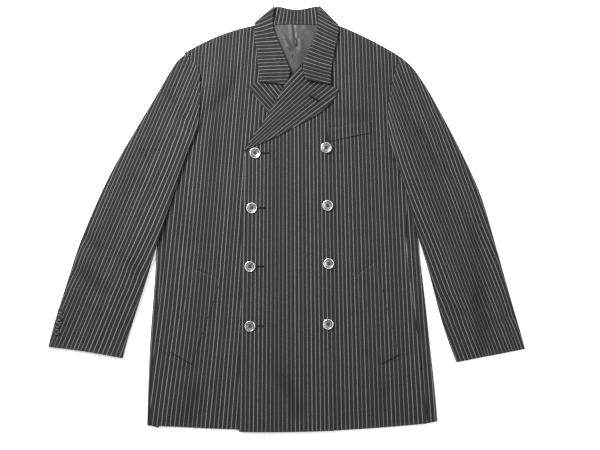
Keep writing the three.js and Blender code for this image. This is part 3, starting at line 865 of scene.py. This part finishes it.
def mesh_from(name: str, bm: bmesh.types.BMesh) -> bpy.types.Mesh:
    """Turns a bmesh into a mesh.

    Args:
        name: The mesh's name.
        bm: What it is made from, which is freed.

    Returns:
        The mesh.
    """
    mesh = bpy.data.meshes.new(name)
    bm.to_mesh(mesh)
    bm.free()
    return mesh


def added(name: str, data: bpy.types.ID) -> bpy.types.Object:
    """Adds an object to the scene.

    Args:
        name: The object's name.
        data: Its mesh, light or camera.

    Returns:
        The object.
    """
    made = bpy.data.objects.new(name, data)
    bpy.context.scene.collection.objects.link(made)
    return made


def new_piece(name: str, mesh: bpy.types.Mesh) -> bpy.types.Object:
    """Adds a smooth-shaded mesh to the scene as a piece."""
    mesh.polygons.foreach_set("use_smooth", [True] * len(mesh.polygons))
    return added(name, mesh)


def applied(piece: bpy.types.Object) -> bpy.types.Object:
    """Applies a piece's modifiers to its mesh.

    Args:
        piece: The piece.

    Returns:
        The same piece, without modifiers.
    """
    bpy.context.view_layer.update()
    graph = bpy.context.evaluated_depsgraph_get()
    mesh = bpy.data.meshes.new_from_object(piece.evaluated_get(graph))
    piece.modifiers.clear()
    piece.data = mesh
    return piece


def piece_from(name: str, bm: bmesh.types.BMesh, material: bpy.types.Material,
               sharp: float = math.radians(40)) -> bpy.types.Object:
    """Turns a finished bmesh into a piece that rides on the jacket.

    Args:
        name: The piece's name.
        bm: The mesh, which is freed.
        material: Its finish.
        sharp: The angle past which an edge is shaded sharp.

    Returns:
        The piece.
    """
    bmesh.ops.recalc_face_normals(bm, faces=bm.faces)
    mesh = mesh_from(name, bm)
    mesh.materials.append(material)
    piece = new_piece(name, mesh)
    mesh.set_sharp_from_angle(angle=sharp)
    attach(piece, CLOTH_BODY)
    log.info("%s: %d faces", name, len(mesh.polygons))
    return piece


@dataclass
class ClothPanel:
    """One cut piece of cloth: a finer mesh on its solid's form, with its folds and grain."""

    node: str
    grain: Grain
    flat: tuple[float, float]
    area: float
    rests_on: tuple[str, ...]
    relief: Relief | None = None
    levels: int = 2
    slot: Slot = Slot.WOOL
    edge: float = 0.55 * MM
    edge_steps: int = 2
    rim_angle: float = ROUND_RIM
    pitch: float = STRIPE_PITCH
    turns_down: float | None = None  # millimetres from the grain's middle to where the cloth bends down
    wear_reach: float = 9.0 * MM
    rim_shell: float = 1.02  # how much longer a shell's step is at a rim than on flat cloth
    wall_lean: float = 0.8  # how far up a normal points where a cut wall ends

    def build(self, material: bpy.types.Material) -> bpy.types.Object:
        """Args:
            material: The cloth's finish.

        Returns:
            The panel, in place.
        """
        piece = self._refined(self._merged())
        self._fold(piece.data)
        self._wear(piece.data)
        self._mark_cuts(piece.data)
        self._lay_grain(piece.data)
        piece.data.materials.clear()
        piece.data.materials.append(material)
        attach(piece, CLOTH_BODY)
        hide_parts(self.node)
        log.info("%s: %d faces", piece.name, len(piece.data.polygons))
        return piece

    def _merged(self) -> bpy.types.Mesh:
        """Copies the node's loose triangles as one closed mesh of quads with creased rims.

        Returns:
            The copy.
        """
        bm = bmesh.new()
        bm.from_mesh(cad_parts[self.node].data)
        bmesh.ops.remove_doubles(bm, verts=bm.verts, dist=WELD)
        bmesh.ops.join_triangles(bm, faces=bm.faces, angle_face_threshold=SAME_FACE,
                                 angle_shape_threshold=SAME_SHAPE)
        crease = bm.edges.layers.float.new("crease_edge")
        for edge in bm.edges:
            if edge.calc_face_angle(0.0) > self.rim_angle:
                edge[crease] = 1.0
        return mesh_from(f"{self.node}_cloth", bm)

    def _refined(self, mesh: bpy.types.Mesh) -> bpy.types.Object:
        """Smooths the panel and rounds its cut edges.

        Args:
            mesh: The merged copy.

        Returns:
            The panel, with both modifiers applied.
        """
        piece = new_piece(f"{self.node}_cloth", mesh)
        smooth = piece.modifiers.new("smooth", "SUBSURF")
        smooth.levels = smooth.render_levels = self.levels
        bevel = piece.modifiers.new("edges", "BEVEL")
        bevel.width, bevel.segments = self.edge, self.edge_steps
        bevel.limit_method, bevel.angle_limit = "ANGLE", BEVELLED
        return applied(piece)

    def _fold(self, mesh: bpy.types.Mesh) -> None:
        """Lays the folds into the mesh, and stores their height, which the finishes read to paint shade into
        the troughs.

        Args:
            mesh: The panel's mesh.
        """
        if self.relief is None:
            return
        points = points_of(mesh)
        raised = self.relief.raised(points)
        mesh.vertices.foreach_set("co", raised.astype(np.float32).ravel())
        store(mesh, FOLD, (raised - points)[:, 2] / MM)
        mesh.update()

    def _wear(self, mesh: bpy.types.Mesh) -> None:
        """Stores how near each point lies to the panel's cut edge.

        Args:
            mesh: The panel's mesh.
        """
        bm = bmesh.new()
        bm.from_mesh(mesh)
        rim = [v.co.copy() for v in bm.verts if v.calc_shell_factor() > self.rim_shell]
        bm.free()
        tree = KDTree(len(rim))
        for i, point in enumerate(rim):
            tree.insert(point, i)
        tree.balance()
        away = np.array([tree.find(v.co)[2] if rim else self.wear_reach for v in mesh.vertices])
        store(mesh, WEAR, 1.0 - smoothstep(away / self.wear_reach))

    def _mark_cuts(self, mesh: bpy.types.Mesh) -> None:
        """Marks the steep walls where a flat panel is cut, which carry no stripe.

        Args:
            mesh: The panel's mesh.
        """
        if self.rim_angle > FLAT_RIM:
            return
        normals = np.zeros(len(mesh.vertices) * 3, np.float32)
        mesh.vertices.foreach_get("normal", normals)
        store(mesh, CUT, 1.0 - smoothstep(np.abs(normals[2::3]) / self.wall_lean))

    def _lay_grain(self, mesh: bpy.types.Mesh) -> None:
        """Stores the grain as a UV map, in metres across and along the stripes.

        Args:
            mesh: The panel's mesh.
        """
        points = points_of(mesh)
        grain = self.grain.across_along(drawn_places(points)) * MM
        if self.turns_down is not None:
            beside = grain[:, 0] / (self.turns_down * MM)
            drop = points[:, 2].max() - points[:, 2]
            grain[:, 0] += np.sign(beside) * smoothstep(np.abs(beside)) * drop
        grain[:, 0] *= STRIPE_PITCH / self.pitch
        corners = np.zeros(len(mesh.loops), np.int32)
        mesh.loops.foreach_get("vertex_index", corners)
        for old in list(mesh.uv_layers):
            mesh.uv_layers.remove(old)
        layer = mesh.uv_layers.new(name=GRAIN_MAP)
        layer.uv.foreach_set("vector", grain[corners].astype(np.float32).ravel())


# What is sewn on
class Surface:
    """The top of the finished cloth, to lay sewing on."""

    ABOVE_ALL = 1.0  # metres, higher than any cloth
    UP = Vector((0, 0, 1))
    DOWN = Vector((0, 0, -1))

    def __init__(self, pieces: Sequence[bpy.types.Object]) -> None:
        """Reads the pieces' meshes."""
        graph = bpy.context.evaluated_depsgraph_get()
        self.trees = [BVHTree.FromObject(piece, graph) for piece in pieces]

    def at(self, place: Vector) -> tuple[Vector, Vector]:
        """Finds the highest cloth under a place of the frame.

        Args:
            place: The place; its height isn't used.

        Returns:
            The point on the cloth and the cloth's normal there.
        """
        start = Vector((place.x, place.y, self.ABOVE_ALL))
        hits = [tree.ray_cast(start, self.DOWN)[:2] for tree in self.trees]
        found = [hit for hit in hits if hit[0] is not None]
        return max(found, key=lambda hit: hit[0].z) if found else (place, self.UP)

    def seat(self, place: Vector, heading: Vector, lift: float = 0.0) -> Matrix:
        """Makes a seat on the cloth.

        Args:
            place: Where it lies; its height isn't used.
            heading: Where its X points.
            lift: How far it stands off the cloth, in metres.

        Returns:
            The seat, with its Z off the cloth.
        """
        point, normal = self.at(place)
        side = normal.cross(heading).normalized()
        ahead = side.cross(normal)
        turn = Matrix((ahead, side, normal)).transposed().to_4x4()
        return Matrix.Translation(point + normal * lift) @ turn


STITCH_SIDES = 6
STITCH_RINGS = 5


def stitch(bm: bmesh.types.BMesh, seat: Matrix, length: float, thickness: float) -> None:
    """Adds one plump stitch of thread along a seat's X.

    Args:
        bm: The mesh it is added to.
        seat: Where it lies.
        length: Its length in metres.
        thickness: Its thickness in metres.
    """
    shape = Matrix.Diagonal((length / 2, thickness / 2, thickness / 2, 1.0))
    bmesh.ops.create_uvsphere(bm, u_segments=STITCH_SIDES, v_segments=STITCH_RINGS, radius=1.0,
                              matrix=seat @ shape @ Matrix.Rotation(math.pi / 2, 4, "Y"))


def stretch(start: Vector, end: Vector, step: float) -> list[Vector]:
    """Divides a line into places about a step apart, both ends among them."""
    count = max(1, round((end - start).length / step))
    return [start.lerp(end, i / count) for i in range(count + 1)]


@dataclass
class Buttonhole:
    """A worked slit: close stitches round a narrow opening."""

    name: str
    start: Place
    end: Place
    width: float = 4.0 * MM
    slit: float = 2.0 * MM
    slit_overlap: float = 1.6  # a slit's dark links beside their spacing
    spacing: float = 0.62 * MM
    strand: float = 0.55 * MM
    lift: float = 0.12 * MM
    end_stitches: int = 3  # on each side of the one straight ahead
    end_turn: float = 26.0  # degrees from one to the next

    def build(self, surface: Surface, thread: bpy.types.Material, gap: bpy.types.Material) -> None:
        """Builds the stitches, and dark thread in the slit between them as painted shadow of the opening.

        Args:
            surface: The cloth it is worked in.
            thread: The stitches' finish.
            gap: The finish of the dark thread in the slit, which paints the shadow of its depth.
        """
        start, end = frame_place(*self.start), frame_place(*self.end)
        ahead = (end - start).normalized()
        side = Vector((-ahead.y, ahead.x, 0.0))
        reach = (self.width + self.slit) / 4
        length = (self.width - self.slit) / 2
        bm = bmesh.new()
        for place in stretch(start, end, self.spacing):
            for sign in (-1, 1):
                seat = surface.seat(place + side * reach * sign, side, self.lift)
                stitch(bm, seat, length, self.strand)
        for place, outward in ((start, -1), (end, 1)):
            for turn in range(-self.end_stitches, self.end_stitches + 1):
                way = Matrix.Rotation(math.radians(turn * self.end_turn), 3, "Z") @ (ahead * outward)
                stitch(bm, surface.seat(place + way * reach, way, self.lift), length, self.strand)
        piece_from(self.name, bm, thread)
        # Dark thread along the slit: painted shadow of the opening
        bm = bmesh.new()
        for place in stretch(start, end, self.slit):
            stitch(bm, surface.seat(place, ahead), self.slit_overlap * self.slit, self.slit)
        piece_from(f"{self.name}_slit", bm, gap)


@dataclass
class Tack:
    """A short dense row of stitches that holds a corner."""

    name: str
    start: Place
    end: Place
    spacing: float = 0.7 * MM
    width: float = 2.0 * MM
    strand: float = 0.6 * MM
    lift: float = 0.1 * MM

    def build(self, surface: Surface, thread: bpy.types.Material) -> None:
        """Builds the row of stitches, each across the line.

        Args:
            surface: The cloth it is sewn to.
            thread: The stitches' finish.
        """
        start, end = frame_place(*self.start), frame_place(*self.end)
        side = Vector((start.y - end.y, end.x - start.x, 0.0)).normalized()
        bm = bmesh.new()
        for place in stretch(start, end, self.spacing):
            stitch(bm, surface.seat(place, side, self.lift), self.width, self.strand)
        piece_from(self.name, bm, thread)


@dataclass
class SeamLine:
    """A running row of stitches along a seam that shows."""

    name: str
    start: Place
    end: Place
    length: float = 2.2 * MM
    spacing: float = 2.4 * MM
    strand: float = 0.8 * MM
    lift: float = 0.08 * MM

    def build(self, surface: Surface, thread: bpy.types.Material) -> None:
        """Builds the row, each stitch along the line.

        Args:
            surface: The cloth it is sewn into.
            thread: The stitches' finish.
        """
        start, end = frame_place(*self.start), frame_place(*self.end)
        bm = bmesh.new()
        for place in stretch(start, end, self.spacing)[:-1]:
            seat = surface.seat(place, (end - start).normalized(), self.lift)
            stitch(bm, seat, self.length, self.strand)
        piece_from(self.name, bm, thread)


# The button's underside, in shares of its radius and height, and its bowl's rings, in shares of their width
UNDERSIDE = ((0.0, 0.0), (0.62, 0.0), (0.84, 0.14), (0.97, 0.42))
BOWL_SHARES = (1.0, 0.86, 0.72, 0.56, 0.4, 0.2, 0.0)


@dataclass
class SewnButton:
    """A dished button with a raised rim and four holes, sewn on with thread."""

    node: str
    slot: Slot
    rim: float
    dish: float
    hole: float
    spacing: float
    sides: int = 64
    hole_sides: int = 20
    rim_steps: int = 8
    sharp: float = math.radians(50)
    rim_share: float = 1.1  # how far in the bowl starts, in rims
    bowl_rise: float = 0.85  # how much of the dish's depth the bowl climbs
    strands: int = 3  # in each of the two rows
    strand_step: float = 0.26  # this and the next four are shares of a hole or of the bowl's height
    strand_reach: float = 0.7
    strand_width: float = 0.3
    shank_width: float = 0.4
    shank_height: float = 0.9
    shank_sides: int = 8
    thread_lift: float = 0.1 * MM

    def build(self, horn: bpy.types.Material, thread: bpy.types.Material) -> None:
        """Builds the button and its thread in place of the node.

        Args:
            horn: The button's finish.
            thread: The thread's finish.
        """
        low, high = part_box(self.node)
        centre = (low + high) / 2
        radius, height = (high.x - low.x) / 2, high.z - low.z
        seat = Matrix.Translation((centre.x, centre.y, low.z))
        bm = bmesh.new()
        chain = [bm.verts.new((r, 0.0, z)) for r, z in self._profile(radius, height)]
        edges = [bm.edges.new(pair) for pair in zip(chain, chain[1:])]
        bmesh.ops.spin(bm, geom=[*chain, *edges], cent=(0, 0, 0), axis=(0, 0, 1), angle=FULL_TURN,
                       steps=self.sides, use_merge=True)
        bmesh.ops.remove_doubles(bm, verts=bm.verts, dist=WELD / 10)
        bmesh.ops.transform(bm, matrix=seat, verts=bm.verts)
        piece = piece_from(f"{self.node}_horn", bm, horn, sharp=self.sharp)
        self._drill(piece, seat, height)
        away = points_of(piece.data)[:, :2] - np.array(centre.xy)
        store(piece.data, RADIUS, np.hypot(*away.T) / radius)
        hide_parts(self.node)
        self._sew(seat, height, thread)

    def _profile(self, radius: float, height: float) -> list[tuple[float, float]]:
        """Draws the section from the axis below, round the rim, to the axis above.

        Args:
            radius: The button's radius in metres.
            height: Its height in metres.

        Returns:
            Distances from the axis, each with its height.
        """
        rim, dish = self.rim, self.dish
        angles = (math.pi * k / self.rim_steps for k in range(self.rim_steps + 1))
        crest = [(radius - rim / 2 + rim / 2 * math.cos(a), height - rim / 3 + rim / 3 * math.sin(a))
                 for a in angles]
        inside = radius - rim * self.rim_share
        bowl = [(inside * share, height - dish * (1.0 - self.bowl_rise * share**2)) for share in BOWL_SHARES]
        return [*((radius * r, height * z) for r, z in UNDERSIDE), *crest, *bowl]

    def _hole_places(self) -> list[Vector]:
        """Gives the four holes' places round the button's middle."""
        half = self.spacing / 2
        return [Vector((x * half, y * half, 0.0)) for x in (-1, 1) for y in (-1, 1)]

    def _drill(self, piece: bpy.types.Object, seat: Matrix, height: float) -> None:
        """Cuts the four holes through the button.

        Args:
            piece: The button.
            seat: Its place.
            height: Its height in metres.
        """
        bm = bmesh.new()
        for place in self._hole_places():
            bmesh.ops.create_cone(bm, cap_ends=True, segments=self.hole_sides, radius1=self.hole / 2,
                                  radius2=self.hole / 2, depth=3 * height,
                                  matrix=seat @ Matrix.Translation(place))
        drills = new_piece("drills", mesh_from("drills", bm))
        cut = piece.modifiers.new("holes", "BOOLEAN")
        cut.object, cut.operation, cut.solver = drills, "DIFFERENCE", "EXACT"
        applied(piece)
        bpy.data.objects.remove(drills)
        piece.data.set_sharp_from_angle(angle=self.sharp)

    def _sew(self, seat: Matrix, height: float, thread: bpy.types.Material) -> None:
        """Lays two rows of thread from hole to hole, and a shank in each hole.

        Args:
            seat: The button's place.
            height: The button's height in metres.
            thread: The thread's finish.
        """
        bm = bmesh.new()
        bowl = height - self.dish
        for row in (-1, 1):
            for k in range(self.strands):
                off = (k - (self.strands - 1) / 2) * self.hole * self.strand_step
                middle = Vector((0.0, row * self.spacing / 2 + off, bowl + self.thread_lift))
                stitch(bm, seat @ Matrix.Translation(middle), self.spacing + self.hole * self.strand_reach,
                       self.hole * self.strand_width)
        depth = bowl * self.shank_height
        for place in self._hole_places():
            middle = place + Vector((0, 0, depth / 2))
            bmesh.ops.create_cone(bm, cap_ends=True, segments=self.shank_sides,
                                  radius1=self.hole * self.shank_width, radius2=self.hole * self.shank_width,
                                  depth=depth, matrix=seat @ Matrix.Translation(middle))
        piece_from(f"{self.node}_thread", bm, thread)


# The stripes of each cut piece
PLAIN_GRAIN = FanGrain((0, 0), lean=0.0, reach=9000)
LEFT_SIDE_GRAIN = FanGrain((-228, -150), lean=3.4, reach=4000)
RIGHT_SIDE_GRAIN = FanGrain((233, -150), lean=-3.6, reach=4000, start=3.6)
COLLAR_BACK_GRAIN = FanGrain((34, 400), lean=0.0, reach=240)
LINING_GRAIN = FanGrain((20, 340), lean=0.0, reach=4000)
FRONT_UNDER_GRAIN = FanGrain((-152, -61), lean=5.2, reach=5000, sways=(
    Sway(full_x=-200, none_x=-70, from_y=-440, to_y=-150, shift=6),
    Sway(full_x=-205, none_x=-60, from_y=150, to_y=310, shift=9),
))
FRONT_OVER_GRAIN = FanGrain((0, 0), lean=0.0, reach=4900, start=2.0, sways=(
    Sway(full_x=292, none_x=222, from_y=-130, to_y=-410, shift=3),
))
BREAST_WELT_GRAIN = FanGrain((0, 0), lean=0.0, reach=4900, start=2.6)
LAPEL_UNDER_GRAIN = FanGrain((-40, 250), lean=-41.0, reach=-500)
LAPEL_OVER_GRAIN = FanGrain((50, 230), lean=51.0, reach=-450, start=2.0)
COLLAR_LEFT_GRAIN = CollarGrain(edge_x=-60, low_slope=0.04, high_slope=0.55, from_y=345, to_y=430)
COLLAR_RIGHT_GRAIN = CollarGrain(edge_x=100, low_slope=-0.23, high_slope=-0.52, from_y=290, to_y=410)
LEFT_SLEEVE_GRAIN = FanGrain((-352, -41), lean=23.0, reach=4400, start=1.0)
RIGHT_SLEEVE_GRAIN = FanGrain((348, -41), lean=-20.6, reach=9000, start=3.0)

# Millimetres from stripe to stripe, as measured on each piece
FRONT_UNDER_PITCH = 8.15
FRONT_OVER_PITCH = 7.75
LAPEL_PITCH = 7.2
COLLAR_PITCH = 7.0
COLLAR_BACK_PITCH = 7.3
LEFT_SLEEVE_PITCH = 8.4
RIGHT_SLEEVE_PITCH = 7.5

# Millimetres from the middle of a piece's grain to where the cloth bends down
SIDE_TURN = 5.0
SLEEVE_TURN = 50.0

# The cut pieces, with their flat sizes in metres and areas in square metres
PANELS = (
    ClothPanel("back", PLAIN_GRAIN, (0.550, 0.800), 0.3920, ("floor",), rim_angle=FLAT_RIM),
    ClothPanel("side_panel_left", LEFT_SIDE_GRAIN, (0.056, 0.510), 0.0205, ("back",), turns_down=SIDE_TURN),
    ClothPanel("side_panel_right", RIGHT_SIDE_GRAIN, (0.058, 0.504), 0.0255, ("back",), turns_down=SIDE_TURN),
    ClothPanel("collar_back", COLLAR_BACK_GRAIN, (0.150, 0.095), 0.0108, ("floor", "back"),
               relief=NECK_RELIEF, levels=3, pitch=COLLAR_BACK_PITCH),
    ClothPanel("back_neck_lining", LINING_GRAIN, (0.114, 0.121), 0.0110, ("back",),
               relief=LINING_RELIEF, levels=4, slot=Slot.LINING, rim_angle=FLAT_RIM),
    ClothPanel("front_under", FRONT_UNDER_GRAIN, (0.372, 0.812), 0.2470, ("back", "back_neck_lining"),
               relief=FRONT_RELIEF, levels=3, rim_angle=FLAT_RIM, pitch=FRONT_UNDER_PITCH),
    ClothPanel("lapel_under", LAPEL_UNDER_GRAIN, (0.085, 0.245), 0.0122, ("front_under",),
               relief=FRONT_RELIEF, rim_angle=FLAT_RIM, pitch=LAPEL_PITCH),
    ClothPanel("front_over", FRONT_OVER_GRAIN, (0.380, 0.812), 0.2450, ("front_under", "back"),
               relief=FRONT_RELIEF, levels=3, rim_angle=FLAT_RIM, pitch=FRONT_OVER_PITCH),
    ClothPanel("lapel_over", LAPEL_OVER_GRAIN, (0.095, 0.255), 0.0125, ("front_over",),
               relief=FRONT_RELIEF, rim_angle=FLAT_RIM, pitch=LAPEL_PITCH),
    ClothPanel("collar_left", COLLAR_LEFT_GRAIN, (0.084, 0.152), 0.0105, ("front_under", "lapel_under"),
               relief=FRONT_RELIEF, pitch=COLLAR_PITCH),
    ClothPanel("collar_right", COLLAR_RIGHT_GRAIN, (0.078, 0.160), 0.0108, ("front_over", "lapel_over"),
               relief=FRONT_RELIEF, pitch=COLLAR_PITCH),
    ClothPanel("sleeve_left_under", LEFT_SLEEVE_GRAIN, (0.130, 0.600), 0.0700, ("floor", "front_under"),
               rim_angle=FLAT_RIM, pitch=LEFT_SLEEVE_PITCH),
    ClothPanel("sleeve_right_under", RIGHT_SLEEVE_GRAIN, (0.130, 0.590), 0.0690, ("floor", "front_over"),
               rim_angle=FLAT_RIM, pitch=RIGHT_SLEEVE_PITCH),
    ClothPanel("sleeve_left_top", LEFT_SLEEVE_GRAIN, (0.190, 0.640), 0.0950, ("sleeve_left_under",),
               relief=LEFT_SLEEVE_RELIEF, levels=3, pitch=LEFT_SLEEVE_PITCH, turns_down=SLEEVE_TURN),
    ClothPanel("sleeve_right_top", RIGHT_SLEEVE_GRAIN, (0.190, 0.630), 0.0940, ("sleeve_right_under",),
               relief=RIGHT_SLEEVE_RELIEF, levels=3, pitch=RIGHT_SLEEVE_PITCH, turns_down=SLEEVE_TURN),
    ClothPanel("breast_welt", BREAST_WELT_GRAIN, (0.092, 0.027), 0.0022, ("front_over",),
               relief=FRONT_RELIEF, rim_angle=FLAT_RIM, pitch=FRONT_OVER_PITCH),
    ClothPanel("hip_welt_left", FRONT_UNDER_GRAIN, (0.056, 0.178), 0.0094, ("front_under",),
               relief=FRONT_RELIEF, rim_angle=FLAT_RIM, pitch=FRONT_UNDER_PITCH),
    ClothPanel("hip_welt_right", FRONT_OVER_GRAIN, (0.056, 0.190), 0.0088, ("front_over",),
               relief=FRONT_RELIEF, rim_angle=FLAT_RIM, pitch=FRONT_OVER_PITCH),
)

# The sewing, in millimetres of the drawing, and the panels that it lies on
FRONT_HOLE_REACH = 26.5  # from a left front button's middle to its buttonhole's far end
LAPEL_HOLE = Buttonhole("lapel_buttonhole", (49, 245.5), (65, 236.5), width=4.6 * MM, slit=2.4 * MM)
SEWING_SURFACE = (
    "front_under", "front_over", "lapel_over", "lapel_under", "hip_welt_left", "hip_welt_right",
    "breast_welt", "side_panel_right", "sleeve_left_top", "back_neck_lining", "collar_left", "collar_right",
)
TACKS = (
    Tack("tack_hip_left_top", (-182, -99), (-130, -119)),
    Tack("tack_hip_left_foot", (-235, -263), (-189, -289)),
    Tack("tack_hip_right_top", (178, -84), (133, -117)),
    Tack("tack_hip_right_foot", (226, -270), (190, -289)),
    Tack("tack_breast_inner", (84, 157), (83, 179)),
    Tack("tack_breast_outer", (170, 176), (169, 195)),
    Tack("tack_lining", (13, 331), (13, 324)),
)
SEAM_LINES = (
    SeamLine("chest_dart", (210, 133), (222, 87)),
    SeamLine("side_seam", (267, -153), (273, -305)),
)


@dataclass(frozen=True)
class SoftLight:
    """A square light that faces the jacket."""

    name: str
    place: tuple[float, float, float]
    size: float
    power: float

    def build(self) -> None:
        """Adds the light."""
        data = bpy.data.lights.new(self.name, "AREA")
        data.shape, data.size, data.energy = "SQUARE", self.size, self.power
        lamp = added(self.name, data)
        lamp.location = self.place
        lamp.rotation_mode = "QUATERNION"
        lamp.rotation_quaternion = (-Vector(self.place)).to_track_quat("-Z", "Y")


@dataclass(frozen=True)
class Studio:
    """The pale floor, the soft lights and the camera straight above."""

    view_width: float = 1.2
    lens: float = 50.0
    sensor: float = 36.0
    cloth_level: float = 8.0 * MM
    floor_size: float = 8.0
    floor_cells: int = 4
    floor_gap: float = 0.3 * MM
    centre: Place = (28.0, -11.0)
    sky: float = 0.28
    sky_colour: tuple[float, float, float, float] = (0.96, 0.98, 1.0, 1.0)
    lights: tuple[SoftLight, ...] = (
        SoftLight("key", (-0.88, 1.0, 1.3), size=0.7, power=67.0),
        SoftLight("fill", (1.3, 0.0, 1.6), size=1.4, power=24.0),
    )

    def build(self) -> None:
        """Builds the floor, the lights, the sky and the camera."""
        self._floor()
        for light in self.lights:
            light.build()
        self._sky()
        self._camera()

    def _floor(self) -> None:
        """Lays the floor just under the cloth."""
        bm = bmesh.new()
        bmesh.ops.create_grid(bm, x_segments=self.floor_cells, y_segments=self.floor_cells,
                              size=self.floor_size, matrix=Matrix.Translation((0, 0, -self.floor_gap)))
        mesh = mesh_from("floor", bm)
        mesh.materials.append(PaleFloor().dress())
        added("floor", mesh)

    def _sky(self) -> None:
        """Sets an even pale sky."""
        world = bpy.data.worlds.new("sky")
        world.use_nodes = True
        background = world.node_tree.nodes["Background"]
        background.inputs["Color"].default_value = self.sky_colour
        background.inputs["Strength"].default_value = self.sky
        bpy.context.scene.world = world

    def _camera(self) -> None:
        """Sets the camera straight above the jacket, as wide as the picture."""
        data = bpy.data.cameras.new("camera")
        data.lens, data.sensor_width = self.lens, self.sensor
        camera = added("camera", data)
        height = self.view_width * self.lens / self.sensor + self.cloth_level
        camera.location = frame_place(*self.centre) + Vector((0, 0, height))
        bpy.context.scene.camera = camera


class Jacket:
    """The whole jacket, dressed piece by piece."""

    def __init__(self) -> None:
        """Makes the finishes."""
        self.wool = PinstripeWool().dress()
        self.lining = SatinLining().dress()
        smoky = Horn("smoky_horn", FRONT_RINGS, roughness=0.28, metallic=0.75, coat=0.4)
        plain = Horn("cuff_horn", CUFF_RINGS, roughness=0.3, metallic=0.15, coat=0.25)
        self.front_horn = smoky.dress()
        self.cuff_horn = plain.dress()
        self.thread = Thread("charcoal_thread", grey=18.0).dress()
        # Dark thread for the tacks, seams and cuff buttons, also laid in the buttonholes' slits as painted
        # shadow
        self.dark_thread_and_slit_shade = Thread("black_thread_and_slit_shade", grey=10.0).dress()
        self.panels: dict[str, bpy.types.Object] = {}

    def cloth(self) -> None:
        """Builds every cut piece."""
        for panel in PANELS:
            finish = self.lining if panel.slot is Slot.LINING else self.wool
            self.panels[panel.node] = panel.build(finish)

    def sewing(self) -> None:
        """Works the buttonholes, the tacks and the seams that show."""
        surface = Surface([self.panels[name] for name in SEWING_SURFACE])
        # Each buttonhole's slit is filled with dark thread: painted shadow of its opening
        for i in COLUMN:
            x, y = drawn_centre(f"front_button_left_{i}")
            hole = Buttonhole(f"buttonhole_{i}", (x, y), (x + FRONT_HOLE_REACH, y))
            hole.build(surface, self.thread, self.dark_thread_and_slit_shade)
        LAPEL_HOLE.build(surface, self.dark_thread_and_slit_shade, self.dark_thread_and_slit_shade)
        for row in (*TACKS, *SEAM_LINES):
            row.build(surface, self.dark_thread_and_slit_shade)

    def buttons(self) -> None:
        """Builds the buttons and sews them on."""
        for node in FRONT_BUTTONS:
            button = SewnButton(node, Slot.FRONT_BUTTON, rim=2.0 * MM, dish=1.1 * MM, hole=1.9 * MM,
                                spacing=3.6 * MM)
            button.build(self.front_horn, self.thread)
        for node in CUFF_BUTTONS:
            button = SewnButton(node, Slot.CUFF_BUTTON, rim=1.3 * MM, dish=0.7 * MM, hole=1.2 * MM,
                                spacing=2.3 * MM, sides=48)
            button.build(self.cuff_horn, self.dark_thread_and_slit_shade)


def main() -> None:
    """Builds the jacket and its studio."""
    logging.basicConfig(level=logging.INFO, format="%(name)s %(message)s")
    jacket = Jacket()
    jacket.cloth()
    jacket.sewing()
    jacket.buttons()
    Studio().build()
    bpy.context.scene.view_settings.view_transform = "Standard"


if __name__ == "__main__":
    main()
